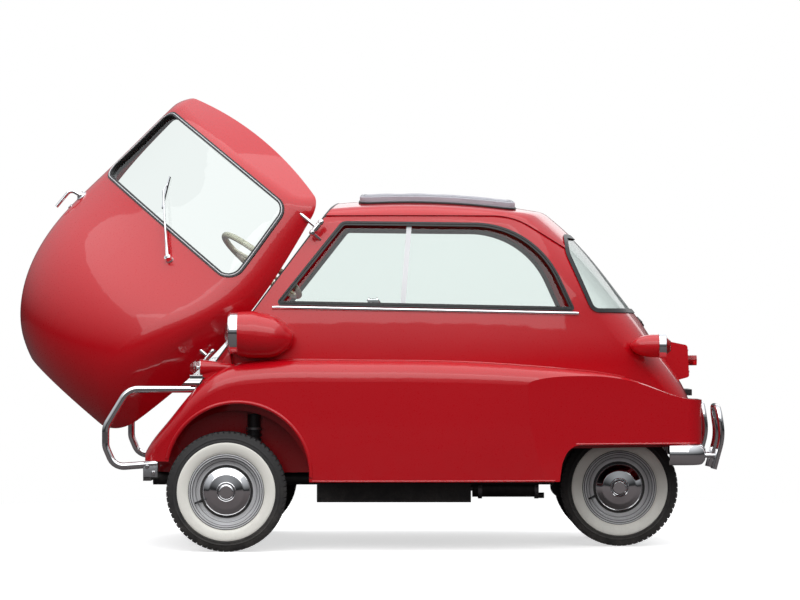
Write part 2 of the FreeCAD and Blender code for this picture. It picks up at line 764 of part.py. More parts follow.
def engine_block():
    return box(FLOOR_BACK_X + 20, ENGINE_BACK_X, *ENGINE_Y, FRAME_Z + CROSS_R + SEAT_GAP, ENGINE_TOP_Z)


def silencer():
    can = rod(V(935, SILENCER_Y, 222), V(1185, SILENCER_Y, 222), 38)
    pipe = rod(V(1180, SILENCER_Y, 190), V(1215, SILENCER_Y, 190), 11)
    hanger = box(1040, 1062, SILENCER_Y - 10, SILENCER_Y + 10, 250, FLOOR_Z)
    return can.multiFuse([pipe, hanger])


# Lamps

def headlamp_pods():
    """Egg-shaped pods that droop a little to the rear, flat where the lamp sits."""
    axis = V(1, 0, -POD_DROP)
    axis.normalize()
    pod = revolved(POD, V(LAMP_X, LAMP_Y, LAMP_Z), axis, V(0, 1, 0))
    pod = pod.common(box(LAMP_X, BEYOND, 0, BEYOND, 0, ROOF_TOP)).cut(wing())
    return both_sides(beside_open_door(pod))


def lens(centre, radius, bulge, thickness):
    """A domed glass of one thickness that bulges forwards, with its rim on a plane through centre."""
    sphere_r = (radius * radius + bulge * bulge) / (2 * bulge)
    middle = centre + BACK * (sphere_r - bulge)
    dome = Part.makeSphere(sphere_r, middle).cut(Part.makeSphere(sphere_r - thickness, middle))
    return dome.common(rod(centre, centre - BACK * sphere_r, radius))


def turn_lamp_pod():
    start = V(TURN_LAMP_X, TURN_LAMP_Y, TURN_LAMP_Z)
    pod = revolved([(0, 0, 0), (0, TURN_LAMP_R, 0), (128, 12, 0), (128, 0, 0)], start, BACK)
    foot = box(TURN_LAMP_X + 8, TURN_LAMP_X + 88, TURN_LAMP_Y - 15, TURN_LAMP_Y + 15, TURN_LAMP_Z - 54,
               TURN_LAMP_Z - 14)
    return outside_body(pod.fuse(foot).cut(wing()))


def tail_lamp_pod():
    start = V(TAIL_LAMP_X - 110, TAIL_LAMP_Y, TAIL_LAMP_Z)
    return outside_body(rod(start, start + BACK * 110, TAIL_LAMP_R))


@functools.lru_cache(maxsize=None)
def plate_lamp():
    return outside_body(side_prism(PLATE_LAMP, -PLATE_LAMP_HALF_W, PLATE_LAMP_HALF_W))


def small_lamp_pods():
    return Part.makeCompound([both_sides(turn_lamp_pod()), both_sides(tail_lamp_pod()), plate_lamp()])


def lamp_rings():
    head = revolved(LAMP_RING, V(LAMP_X, LAMP_Y, LAMP_Z), BACK)
    start = V(TAIL_LAMP_X + SEAT_GAP, TAIL_LAMP_Y, TAIL_LAMP_Z)
    tail = tube(start, start + BACK * 25, TAIL_LAMP_R + 2, TAIL_LAMP_R - 8)
    return Part.makeCompound([both_sides(beside_open_door(head)), both_sides(tail)])


def front_lenses():
    head = lens(V(LAMP_X - 32, LAMP_Y, LAMP_Z), LAMP_LENS_R - SEAT_GAP, 22, 4)
    r = TURN_LAMP_R - 1
    profile = [(0, 0, 0), (0, r, 0), (26, r - 2, 4), (42, 14, 8), (42, 0, 0)]
    turn = revolved(profile, V(TURN_LAMP_X - SEAT_GAP, TURN_LAMP_Y, TURN_LAMP_Z), BACK * -1)
    return Part.makeCompound([both_sides(head), both_sides(turn)])


def tail_lenses():
    r = TAIL_LAMP_R - 8 - SEAT_GAP
    profile = [(0, 0, 0), (0, r, 0), (30, r - 2, 6), (44, 20, 12), (44, 0, 0)]
    tail = revolved(profile, V(TAIL_LAMP_X + SEAT_GAP, TAIL_LAMP_Y, TAIL_LAMP_Z), BACK)
    plate = rod(V(1780, 0, PLATE_LENS_Z), V(1826, 0, PLATE_LENS_Z), PLATE_LENS_R).cut(plate_lamp())
    return Part.makeCompound([both_sides(tail), largest(plate)])


def plate_bracket():
    """Flat bar with the two fixing holes of the rear number plate."""
    reach = PLATE_HOLE_Y + PLATE_BAR_EDGE
    bar = box(1760, PLATE_BAR_X, -reach, reach, PLATE_Z - PLATE_BAR_EDGE, PLATE_Z + PLATE_BAR_EDGE)
    return outside_body(bar).cut(plate_holes())


def fuel_cap():
    return outside_body(rod(V(1590, 150, 855), V(1650, 150, 890), 32))


# Bumpers

@functools.lru_cache(maxsize=None)
def front_hoop():
    hoop = bent_tube([(V(x, HOOP_Y, z), r) for x, z, r in HOOP], HOOP_R)
    return largest(hoop.cut(wing()))


def front_hoops():
    return both_sides(front_hoop())


def rear_bar():
    """Chromed bar that wraps the tail corner just below the wing's edge."""
    z0, z1 = REAR_BAR_Z
    bar = plan_prism(REAR_BAR, z0, z1, REAR_BAR_PROUD).cut(plan_prism(REAR_BAR, z0, z1, -SHEET))
    return bar.common(box(REAR_BAR_X, 2000, REAR_BAR_INNER_Y, BEYOND, z0, z1))


def rear_hoops():
    """Loops of tube behind the tail, each on two pegs from the chromed bar."""
    inner, outer = REAR_HOOP_Y
    points = [(V(x, outer, z), r) for x, z, r in REAR_HOOP]
    points += [(V(x, inner, z), r) for x, z, r in REAR_HOOP[::-1]]
    hoop = bent_tube(points, REAR_HOOP_R)
    for y in REAR_HOOP_Y:
        hoop = hoop.fuse(rod(V(1800, y, 356), V(1862, y, 356), 9))
    return both_sides(largest(hoop.cut(rear_bar())))


def rear_bars():
    return both_sides(rear_bar())


def front_brackets():
    """Ears below the front wings that hold the bumper tubes, with arms in to the frame."""
    ear = box(*BRACKET_X, HOOP_Y - BRACKET_T / 2, HOOP_Y + BRACKET_T / 2, *BRACKET_Z)
    arm = box(*BRACKET_ARM_X, FRAME_Y, HOOP_Y + BRACKET_T / 2, *BRACKET_ARM_Z)
    bracket = ear.fuse(arm).removeSplitter().cut(chassis_frame()).cut(front_hoop()).cut(wing())
    return both_sides(largest(bracket))


# Door

def hinge_posts():
    """Body halves of the two door hinges: ball-ended pins, each with an arm to the body or the wing."""
    pieces = []
    for t, inboard in HINGES:
        low = on_door(HINGE_TOP.y, t - HINGE_BALL)
        pin = revolved(HINGE_POST, on_door(HINGE_TOP.y, t), hinge_axis(), V(0, 1, 0))
        arm = rod(low, low - hinge_forward() * HINGE_ARM + V(0, inboard, 0), 7)
        arm = arm.cut(egg(-SEAT_GAP)).cut(wing_left())
        pieces.append(pin.fuse(nearest(arm, low)))
    return Part.makeCompound(pieces)


def door_hinges():
    """Door halves of the hinges: a sleeve round each pin and an arm to the door's skin."""
    pieces = []
    for t, inboard in HINGES:
        at = on_door(HINGE_TOP.y, t)
        sleeve = rod(on_door(HINGE_TOP.y, t - 14), on_door(HINGE_TOP.y, t + 14), HINGE_SLEEVE_R)
        arm = nearest(rod(at, on_door(HINGE_TOP.y + 80, t, 45), 7).cut(egg(-SEAT_GAP)), at)
        bore = rod(on_door(HINGE_TOP.y, t - 40), on_door(HINGE_TOP.y, t + 40), HINGE_PIN_R + HINGE_CLEAR)
        pieces.append(sleeve.fuse(arm).cut(bore))
    return Part.makeCompound(pieces)


def door_shell():
    door = skin(0, DOOR_WALL).common(ahead_of_opening(DOOR_GAP / 2)).common(door_prism(DOOR_OUTLINE))
    return door.cut(door_prism(WINDSCREEN))


def windscreen_rubber():
    ring = door_prism(WINDSCREEN, -SEAT_GAP).cut(door_prism(WINDSCREEN, -RUBBER_W))
    return skin(-RUBBER_PROUD, DOOR_WALL + RUBBER_INSIDE).common(ring).common(ahead_of_opening(DOOR_GAP / 2))


def windscreen():
    pane = skin(GLASS_DEPTH, GLASS_DEPTH + GLASS).common(door_prism(WINDSCREEN, -RUBBER_W - SEAT_GAP))
    return pane.common(ahead_of_opening(DOOR_GAP / 2))


def surface_point(y, t):
    """Point of the shut door's outer surface at a place across and along the hinge line."""
    inside = on_door(y, t, -150)
    hit = egg(0).common(Part.makeLine(inside, on_door(y, t, 700)))
    return max((v.Point for v in hit.Vertexes), key=lambda p: (p - inside).Length)


def door_handle():
    """Hook-shaped lever: out from the skin, then down along it."""
    foot = surface_point(*HANDLE_AT)
    out = V(-0.55, 0.8, 0.24)
    out.normalize()
    elbow = foot + out * HANDLE_REACH
    lever = bent_tube([(foot - out * 30, 0), (elbow, 24), (elbow - hinge_axis() * HANDLE_DROP, 0)], HANDLE_R)
    boss = rod(foot - out * 30, foot + out * 12, HANDLE_R * 2)
    return outside_skin(lever.fuse(boss))


def outside_skin(shape):
    return largest(shape.cut(egg(-SEAT_GAP)))


def wiper():
    n = hinge_forward()
    foot = surface_point(*WIPER_FOOT)
    pivot = foot + n * 26
    arm = rod(pivot - n * 4, surface_point(*WIPER_TIP) + n * 16, WIPER_R)
    return outside_skin(rod(foot - n * 20, pivot, 9)).fuse(arm)


def mirror():
    """Inside mirror on a stalk from the header above the windscreen."""
    foot = surface_point(*MIRROR_AT)
    centre = foot - hinge_forward() * (DOOR_WALL + 60)
    head = Part.makeBox(*MIRROR_SIZE, V(*MIRROR_SIZE) * -0.5)
    head.rotate(V(0, 0, 0), V(0, 1, 0), 12)
    head.translate(centre)
    return rod(foot, centre, 5).common(egg(DOOR_WALL + SEAT_GAP)).fuse(head)


@functools.lru_cache(maxsize=None)
def dash_shelf():
    shelf = egg(DOOR_WALL + SEAT_GAP).cut(egg(DOOR_WALL + DASH_DEPTH))
    shelf = shelf.common(box(-600, 400, -DASH_HALF_W, DASH_HALF_W, DASH_Z, DASH_Z + DASH_T))
    return largest(shelf.common(ahead_of_opening(DOOR_GAP / 2 + 30)))


def column_direction():
    d = COLUMN_HUB - COLUMN_LOW
    d.normalize()
    return d


def steering_column():
    d = column_direction()
    jacket = tube(COLUMN_LOW + d * 60, COLUMN_HUB - d * 60, COLUMN_JACKET_R, COLUMN_R + SHAFT_CLEAR)
    middle = COLUMN_LOW + d * 300
    stay = rod(middle, V(-60, middle.y, DASH_Z - 5), 10).cut(rod(COLUMN_LOW, COLUMN_HUB, COLUMN_JACKET_R - 1))
    return jacket.fuse(largest(stay)).cut(dash_shelf())


def steering_wheel():
    d = column_direction()
    across = V(0, 1, 0).cross(d)
    across.normalize()
    pieces = [rod(COLUMN_HUB - d * 30, COLUMN_HUB + d * 12, 34), rod(COLUMN_LOW - d * 12, COLUMN_LOW + d * 30, 18),
              Part.makeTorus(WHEEL_RIM_R, WHEEL_GRIP_R, COLUMN_HUB, d)]
    for angle in (90, 210, 330):
        turn = math.radians(angle)
        reach = across * math.cos(turn) + d.cross(across) * math.sin(turn)
        pieces.append(rod(COLUMN_HUB, COLUMN_HUB + reach * WHEEL_RIM_R, 7))
    return rod(COLUMN_LOW, COLUMN_HUB, COLUMN_R).multiFuse(pieces)


ON_BODY = [body_shell, roof_panel, fabric_roof, wing_left, wing_right, wheel_housings, floor_pan, rear_shelf,
           window_rubbers, side_windows, window_dividers, belt_trims, rear_window, seat_cushion, seat_back,
           seat_frame, chassis_frame, front_beam, rear_carrier, leaf_springs, engine_block, silencer, headlamp_pods,
           small_lamp_pods, lamp_rings, front_lenses, tail_lenses, plate_bracket, fuel_cap, front_hoops,
           front_brackets, track_rod, rear_hoops, rear_bars, hinge_posts, rear_rims]
ON_DOOR = [door_shell, windscreen_rubber, windscreen, door_hinges, door_handle, wiper, mirror, dash_shelf,
           steering_column, steering_wheel]

for make in ON_BODY:
    save(make.__name__, make())
for make in ON_DOOR:
    save(make.__name__, opened(make()))
save("rear_tyres", rear_pair(TYRE))
save("rear_hubcaps", rear_pair(HUBCAP))
for label, side in (("left", -1), ("right", 1)):
    save("knuckle_" + label, knuckle(side))
    save("front_tyre_" + label, wheel_piece(TYRE, 0, FRONT_Y, side))
    save("front_rim_" + label, wheel_piece(RIM, 0, FRONT_Y, side, STUB_R + SHAFT_CLEAR))
    save("front_hubcap_" + label, wheel_piece(HUBCAP, 0, FRONT_Y, side))
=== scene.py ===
import json
from math import atan2, cos, exp, pi, radians, sin, tan

import bmesh
import bpy
from mathutils import Matrix, Vector
from mathutils.bvhtree import BVHTree


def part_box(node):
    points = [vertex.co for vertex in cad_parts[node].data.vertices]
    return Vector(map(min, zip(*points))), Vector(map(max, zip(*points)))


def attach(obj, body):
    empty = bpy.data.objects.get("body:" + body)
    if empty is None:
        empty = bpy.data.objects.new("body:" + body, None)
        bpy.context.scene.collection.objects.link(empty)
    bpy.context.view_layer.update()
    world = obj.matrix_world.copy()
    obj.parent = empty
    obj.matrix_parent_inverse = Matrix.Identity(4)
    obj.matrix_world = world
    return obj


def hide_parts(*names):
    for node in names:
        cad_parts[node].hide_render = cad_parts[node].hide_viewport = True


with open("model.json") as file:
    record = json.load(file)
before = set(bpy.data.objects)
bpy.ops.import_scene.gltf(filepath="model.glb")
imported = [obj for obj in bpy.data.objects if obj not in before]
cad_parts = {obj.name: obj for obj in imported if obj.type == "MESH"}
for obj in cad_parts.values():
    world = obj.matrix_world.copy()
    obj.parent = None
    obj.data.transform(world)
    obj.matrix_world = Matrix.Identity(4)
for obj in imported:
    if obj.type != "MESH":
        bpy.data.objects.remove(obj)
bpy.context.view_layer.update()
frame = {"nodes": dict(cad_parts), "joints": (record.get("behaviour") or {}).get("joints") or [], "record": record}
nodes = frame["nodes"]
record = frame["record"]
print("stage: frame loaded")

# Driving sizes of the car, in metres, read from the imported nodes
frontLow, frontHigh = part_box("front_tyre_left")
tyreRadius = (frontHigh[2] - frontLow[2]) / 2


def jointNamed(name):
    return next(joint for joint in frame["joints"] if joint["name"] == name)


doorJoint = jointNamed("door_swing")
hingePoint = Vector(doorJoint["pos_m"])
hingeAxis = Vector(doorJoint["axis"]).normalized()
hingeForward = Vector((-hingeAxis.z, 0, hingeAxis.x))
doorTurn = Matrix.Rotation(radians(-doorJoint["range_deg"][0]), 4, hingeAxis)
openDoor = Matrix.Translation(hingePoint) @ doorTurn @ Matrix.Translation(-hingePoint)


# Node trees

def addNode(tree, kind, values=None):
    # Keys in small letters are settings, the others are sockets
    node = tree.nodes.new(kind if "Node" in kind else "ShaderNode" + kind)
    for key, value in (values or {}).items():
        if str(key).islower():
            setattr(node, key, value)
        else:
            node.inputs[key].default_value = value
    return node


def addNodes(tree, wanted):
    entries = {label: [entry] if isinstance(entry, str) else entry for label, entry in wanted.items()}
    return {label: addNode(tree, *entry) for label, entry in entries.items()}


def wire(tree, parts, links):
    for entry in links.split(", "):
        ends = [end.split(".") for end in entry.split(" > ")]
        source, target = [(parts[label], int(key) if key.isdigit() else key) for label, key in ends]
        tree.links.new(source[0].outputs[source[1]], target[0].inputs[target[1]])


def buildGroup(kind, name, inputs, outputs, wanted, links):
    group = bpy.data.node_groups.new(name, kind)
    for label, socketKind, value in inputs:
        socket = group.interface.new_socket(name=label, in_out="INPUT", socket_type="NodeSocket" + socketKind)
        if value is not None:
            socket.default_value = value
    for label, socketKind in outputs:
        group.interface.new_socket(name=label, in_out="OUTPUT", socket_type="NodeSocket" + socketKind)
    parts = addNodes(group, {"start": "NodeGroupInput", "end": "NodeGroupOutput", **wanted})
    wire(group, parts, links)
    return group


# Shared surface effects

colourDrift = buildGroup(
    "ShaderNodeTree", "colourDrift",
    [("Colour", "Color", None), ("Scale", "Float", 2.0), ("Amount", "Float", 0.06)], [("Colour", "Color")],
    {"place": "TexCoord", "noise": ("TexNoise", {"Detail": 3.0}),
     "span": ("MapRange", {"From Min": 0.3, "From Max": 0.7, "To Min": -1.0, "To Max": 1.0}),
     "strength": ("Math", {"operation": "MULTIPLY_ADD", 2: 1.0}), "shade": "HueSaturation"},
    "place.Object > noise.Vector, start.Scale > noise.Scale, noise.Fac > span.Value, "
    "span.Result > strength.0, start.Amount > strength.1, strength.0 > shade.Value, "
    "start.Colour > shade.Color, shade.Color > end.Colour")
grain = buildGroup(
    "ShaderNodeTree", "fineGrain",
    [("Scale", "Float", 300.0), ("Detail", "Float", 4.0), ("Depth", "Float", 0.0002)],
    [("Normal", "Vector"), ("Mask", "Float")],
    {"place": "TexCoord", "noise": "TexNoise", "bump": ("Bump", {"Strength": 1.0})},
    "place.Object > noise.Vector, start.Scale > noise.Scale, start.Detail > noise.Detail, "
    "noise.Fac > bump.Height, start.Depth > bump.Distance, bump.Normal > end.Normal, noise.Fac > end.Mask")
roadFilm = buildGroup(
    "ShaderNodeTree", "roadFilm", [("Top", "Float", 0.45), ("Amount", "Float", 0.5)], [("Mask", "Float")],
    {"place": "TexCoord", "split": "SeparateXYZ",
     "noise": ("TexNoise", {"Scale": 14.0, "Detail": 6.0, "Roughness": 0.65}),
     "speck": ("TexNoise", {"Scale": 160.0, "Detail": 3.0}),
     "height": ("MapRange", {"From Min": 0.1, "To Min": 1.0, "To Max": 0.0}),
     "cloud": ("MapRange", {"From Min": 0.35, "From Max": 0.75}),
     "fine": ("MapRange", {"From Min": 0.4, "From Max": 0.7, "To Min": 0.5}),
     "first": ("Math", {"operation": "MULTIPLY"}), "second": ("Math", {"operation": "MULTIPLY"}),
     "third": ("Math", {"operation": "MULTIPLY", "use_clamp": True})},
    "place.Object > split.0, place.Object > noise.Vector, place.Object > speck.Vector, "
    "split.Z > height.Value, "
    "start.Top > height.From Max, noise.Fac > cloud.Value, speck.Fac > fine.Value, height.Result > first.0, "
    "cloud.Result > first.1, first.0 > second.0, fine.Result > second.1, second.0 > third.0, "
    "start.Amount > third.1, third.0 > end.Mask")
weave = buildGroup(
    "ShaderNodeTree", "clothWeave", [("Scale", "Float", 500.0), ("Depth", "Float", 0.0004)],
    [("Normal", "Vector"), ("Mask", "Float")],
    {"place": "TexCoord", "noise": ("TexNoise", {"Scale": 40.0, "Detail": 2.0}),
     "warp": ("VectorMath", {"operation": "MULTIPLY_ADD", 1: (0.002, 0.002, 0.002)}),
     "along": ("TexWave", {"bands_direction": "X", "Distortion": 0.4}),
     "across": ("TexWave", {"bands_direction": "Y", "Distortion": 0.4}),
     "joined": ("Math", {"operation": "MULTIPLY"}), "bump": ("Bump", {"Strength": 1.0})},
    "place.Object > noise.Vector, noise.Color > warp.0, place.Object > warp.2, warp.0 > along.Vector, "
    "start.Scale > along.Scale, warp.0 > across.Vector, start.Scale > across.Scale, along.Fac > joined.0, "
    "across.Fac > joined.1, joined.0 > bump.Height, start.Depth > bump.Distance, bump.Normal > end.Normal, "
    "joined.0 > end.Mask")
print("stage: surface effects built")


# Materials

dustColour = (0.19, 0.17, 0.15, 1)


def camel(key):
    first, *rest = key.split("_")
    return first + "".join(word.capitalize() for word in rest)


def newMaterial(name):
    material = bpy.data.materials.new(name)
    material.use_nodes = True
    material.node_tree.nodes.clear()
    return material, material.node_tree


surfaceDefaults = {"metallic": 0.0, "drift": 0.04, "scale": 220, "depth": 0.0001, "film": 0.0,
                   "filmTop": 0.45, "coat": 0.0, "sheen": 0.0, "specular": 0.5, "through": {}, "cover": None}


def surfaceMaterial(name, colour, roughness, settings):
    material, tree = newMaterial(name)
    look = {**surfaceDefaults, **settings}
    parts = addNodes(tree, {
        "output": "OutputMaterial",
        "shader": ("BsdfPrincipled", {
            "Metallic": look["metallic"], "Coat Weight": look["coat"], "Coat Roughness": 0.03,
            "Sheen Weight": look["sheen"], "Specular IOR Level": look["specular"], **look["through"]}),
        "base": ("Group", {"node_tree": colourDrift, "Colour": (*colour, 1), "Amount": look["drift"]}),
        "skin": ("Group", {"node_tree": grain, "Scale": look["scale"], "Depth": look["depth"]}),
        "rough": ("MapRange", {"From Min": 0.3, "From Max": 0.7, "To Min": roughness * 0.85,
                               "To Max": min(roughness * 1.2, 1.0)})})
    wire(tree, parts, "skin.Mask > rough.Value")
    colourEnd, roughEnd = "base.Colour", "rough.Result"
    if look["film"]:
        parts.update(addNodes(tree, {
            "dust": ("Group", {"node_tree": roadFilm, "Top": look["filmTop"], "Amount": look["film"]}),
            "mixed": ("Mix", {"data_type": "RGBA", 7: dustColour}),
            "dull": ("Mix", {"data_type": "FLOAT", "B": 0.8})}))
        wire(tree, parts, "dust.Mask > mixed.Factor, base.Colour > mixed.6, dust.Mask > dull.Factor, "
                          "rough.Result > dull.A")
        colourEnd, roughEnd = "mixed.2", "dull.Result"
    wire(tree, parts, f"{colourEnd} > shader.Base Color, {roughEnd} > shader.Roughness, "
                      "skin.Normal > shader.Normal, shader.0 > output.Surface")
    if look["cover"]:
        group, values, socket = look["cover"]
        parts["cover"] = addNode(tree, "Group", {"node_tree": group, **values})
        wire(tree, parts, "cover.Normal > shader." + socket)
    return material


def clearMaterial(name, tint, facing, roughness=0.02, flute=0.0):
    material, tree = newMaterial(name)
    parts = addNodes(tree, {
        "output": "OutputMaterial", "through": ("BsdfTransparent", {"Color": (*tint, 1)}),
        "gloss": ("BsdfGlossy", {"Roughness": roughness}), "rim": ("Fresnel", {"IOR": 1.45}),
        "share": ("Math", {"operation": "ADD", "use_clamp": True, 1: facing}), "shown": "NewGeometry",
        "frontOnly": ("Math", {"operation": "SUBTRACT", 0: 1.0}), "kept": ("Math", {"operation": "MULTIPLY"}),
        "mix": "MixShader",
        "skin": ("Group", {"node_tree": grain, "Scale": 60.0 if flute else 2.0, "Detail": 1.0,
                           "Depth": flute or 0.00005})})
    wire(tree, parts, "skin.Normal > gloss.Normal, rim.0 > share.0, shown.Backfacing > frontOnly.1, "
                      "share.0 > kept.0, frontOnly.0 > kept.1, kept.0 > mix.0, through.0 > mix.1, "
                      "gloss.0 > mix.2, mix.0 > output.Surface")
    return material


surfaceRows = {
    "red_paint": ((0.49, 0.002, 0.008), 0.3, {
        "drift": 0.02, "depth": 0.00001, "film": 0.12, "filmTop": 0.42, "coat": 0.8, "specular": 0.25,
        "cover": (grain, {"Scale": 90.0, "Detail": 2.0, "Depth": 0.00003}, "Coat Normal")}),
    "chrome": ((0.83, 0.83, 0.84), 0.05, {"metallic": 1.0, "drift": 0.02, "scale": 60, "depth": 0.00002}),
    "black_rubber": ((0.018, 0.018, 0.019), 0.42, {"scale": 500, "depth": 0.00008}),
    "tyre_rubber": ((0.024, 0.023, 0.023), 0.62, {
        "scale": 420, "depth": 0.0002, "film": 0.5, "filmTop": 0.3}),
    "white_rubber": ((0.88, 0.86, 0.79), 0.42, {
        "drift": 0.03, "scale": 260, "depth": 0.00008, "film": 0.25, "filmTop": 0.3}),
    "wheel_paint": ((0.6, 0.6, 0.61), 0.34, {
        "metallic": 0.15, "scale": 300, "coat": 0.5, "film": 0.3, "filmTop": 0.4}),
    "grey_fabric": ((0.46, 0.45, 0.5), 0.85, {
        "drift": 0.07, "sheen": 0.3, "cover": (weave, {"Scale": 420.0, "Depth": 0.0005}, "Normal")}),
    "seat_fabric": ((0.46, 0.39, 0.28), 0.85, {
        "drift": 0.07, "sheen": 0.25, "cover": (weave, {"Scale": 330.0, "Depth": 0.0006}, "Normal")}),
    "black_paint": ((0.02, 0.02, 0.021), 0.38, {"scale": 240, "depth": 0.00015, "film": 0.6}),
    "cream_plastic": ((0.66, 0.6, 0.45), 0.25, {"depth": 0.00002, "coat": 0.3}),
    "black_plastic": ((0.015, 0.015, 0.015), 0.28, {"depth": 0.00005}),
    "engine_metal": ((0.36, 0.36, 0.37), 0.48, {"metallic": 0.9, "scale": 260, "depth": 0.0004}),
    "red_lens": ((0.55, 0.004, 0.008), 0.12, {
        "scale": 90, "depth": 0.0006, "through": {"Transmission Weight": 0.55, "IOR": 1.45}}),
    "thread_cloth": ((0.1, 0.1, 0.115), 0.8, {"scale": 900, "sheen": 0.2}),
    "seat_trim": ((0.17, 0.035, 0.03), 0.45, {"scale": 700, "coat": 0.1}),
    "reflector": ((0.88, 0.88, 0.9), 0.12, {"metallic": 1.0, "scale": 70, "depth": 0.0006}),
    "dial_black": ((0.035, 0.035, 0.038), 0.5, {"scale": 600, "depth": 0.00005}),
    "trim_vinyl": ((0.3, 0.28, 0.27), 0.5, {"scale": 420, "depth": 0.0002, "coat": 0.1})}
paints = {key: surfaceMaterial(camel(key), *row) for key, row in surfaceRows.items()}
paints["clear_glass"] = clearMaterial("clearGlass", (0.93, 0.96, 0.95), 0.02)
paints["clear_lens"] = clearMaterial("clearLens", (0.96, 0.97, 0.97), 0.1, 0.06, 0.002)
for part in record["subparts"]:
    nodes[part["node"]].data.materials.clear()
    nodes[part["node"]].data.materials.append(paints[part["material_slot"]])
print("stage: materials on the CAD nodes")


# Mesh tools

def addObject(name, data):
    obj = bpy.data.objects.new(name, data)
    bpy.context.scene.collection.objects.link(obj)
    return obj


def newMesh(name, points, faces):
    mesh = bpy.data.meshes.new(name)
    mesh.from_pydata([tuple(p) for p in points], [], faces)
    return mesh


def modified(obj, kind, **settings):
    modifier = obj.modifiers.new(kind.lower(), kind)
    for key, value in settings.items():
        setattr(modifier, key, value)
    return modifier


def frameAt(place, axis, side=None):
    z = Vector(axis).normalized()
    x = Vector(side) if side else (Vector((0, 0, 1)) if abs(z.z) < 0.9 else Vector((1, 0, 0)))
    x = (x - z * x.dot(z)).normalized()
    matrix = Matrix((x, z.cross(x), z)).transposed().to_4x4()
    matrix.translation = Vector(place)
    return matrix


def shiftBy(x, y, z):
    return Matrix.Translation((x, y, z))


def pairAt(spot, axis, out=(0, 0, 0)):
    x, y, z = (a + b for a, b in zip(spot, out))
    return [frameAt((x, side * y, z), axis) for side in (-1, 1)]


def polar(radius, angle, *rest):
    return (radius * cos(angle), radius * sin(angle), *rest)


def loopFaces(rows, count, closed=False, capped=False):
    faces = []
    for row in range(rows if closed else rows - 1):
        low, high = row * count, ((row + 1) % rows) * count
        faces += [(low + k, low + (k + 1) % count, high + (k + 1) % count, high + k) for k in range(count)]
    if capped and not closed:
        faces += [tuple(range(count))[::-1], tuple(range((rows - 1) * count, rows * count))]
    return faces


def latheForm(profile, segments, closed=False):
    turns = [2 * pi * i / segments for i in range(segments)]
    points = [polar(radius, turn, along) for along, radius in profile for turn in turns]
    return points, loopFaces(len(profile), segments, closed)


def formOf(work):
    work.verts.index_update()
    points = [v.co.copy() for v in work.verts]
    faces = [tuple(v.index for v in face.verts) for face in work.faces]
    work.free()
    return points, faces


def rounded(work, offset, segments, profile=0.5):
    bmesh.ops.bevel(work, geom=work.edges[:], offset=offset, segments=segments, affect="EDGES",
                    profile=profile)
    return formOf(work)


def boxForm(half, bevel, segments=2, profile=0.5):
    work = bmesh.new()
    bmesh.ops.create_cube(work, size=2.0)
    bmesh.ops.scale(work, vec=half, verts=work.verts)
    return rounded(work, bevel, segments, profile) if bevel else formOf(work)


def directions(path, closed=False):
    count = len(path)
    for i, p in enumerate(path):
        before = path[i - 1] if i or closed else p
        after = path[(i + 1) % count] if i < count - 1 or closed else p
        yield (after - before).normalized()


def tubeForm(path, radius, segments=10, closed=False):
    path = [Vector(p) for p in path]
    radii = radius if isinstance(radius, (list, tuple)) else [radius] * len(path)
    points = []
    side = None
    for p, along, reach in zip(path, directions(path, closed), radii):
        side = side or along.orthogonal().normalized()
        side = (side - along * side.dot(along)).normalized()
        other = along.cross(side)
        for k in range(segments):
            a, b = polar(1, 2 * pi * k / segments)
            points.append(p + (side * a + other * b) * reach)
    return points, loopFaces(len(path), segments, closed, True)


def boltRows(size):
    washer = [(0.0, size), (size * 0.16, size), (size * 0.2, size * 0.9), (size * 0.2, 0.00002)]
    head = [(size * 0.18, size * 0.8), (size * 0.7, size * 0.8), (size * 0.8, size * 0.68),
            (size * 0.8, 0.00002)]
    return washer, head


class Builder:
    def __init__(self):
        self.points = []
        self.faces = []
        self.slots = []

    def add(self, points, faces, slotIndex=0, place=None):
        base = len(self.points)
        self.points += [place @ Vector(p) if place else Vector(p) for p in points]
        self.faces += [tuple(base + i for i in face) for face in faces]
        self.slots += [slotIndex] * len(faces)

    def lathe(self, rows, segments, slotIndex=0, place=None, closed=False):
        self.add(*latheForm(rows, segments, closed), slotIndex, place)

    def tube(self, path, radius, segments=10, slotIndex=0, closed=False):
        self.add(*tubeForm(path, radius, segments, closed), slotIndex)

    def box(self, size, bevel, slotIndex=0, place=None):
        self.add(*boxForm(size, bevel), slotIndex, place)

    def bead(self, along, radius, thick, slotIndex, place, segments=96):
        turns = [pi * i / 4 for i in range(8)]
        rows = [(along + thick * sin(a), radius + thick * cos(a)) for a in turns]
        self.lathe(rows, segments, slotIndex, place, True)

    def bolt(self, size, slotIndex, place, washer=False):
        rings, head = boltRows(size)
        if washer:
            self.lathe(rings, 20, slotIndex, place)
        self.lathe(head, 6, slotIndex, place)

    def mesh(self, mesh, slotIndex=0, place=None):
        self.add([v.co for v in mesh.vertices], [tuple(f.vertices) for f in mesh.polygons], slotIndex, place)

    def finish(self, name, paintKeys, body="car_body", slotName=None):
        keys = paintKeys.split()
        mesh = newMesh(name, self.points, self.faces)
        for key in keys:
            mesh.materials.append(paints[key])
        mesh.polygons.foreach_set("material_index", self.slots)
        mesh.update()
        obj = addObject(name, mesh)
        work = bmesh.new()
        work.from_mesh(mesh)
        bmesh.ops.remove_doubles(work, verts=work.verts, dist=0.00001)
        bmesh.ops.recalc_face_normals(work, faces=work.faces)
        work.to_mesh(mesh)
        work.free()
        mesh.shade_smooth()
        mesh.set_sharp_from_angle(angle=radians(38))
        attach(obj, body)
        return obj


def treeOf(*names):
    joined = Builder()
    for name in names:
        joined.mesh(nodes[name].data)
    return BVHTree.FromPolygons(joined.points, joined.faces)


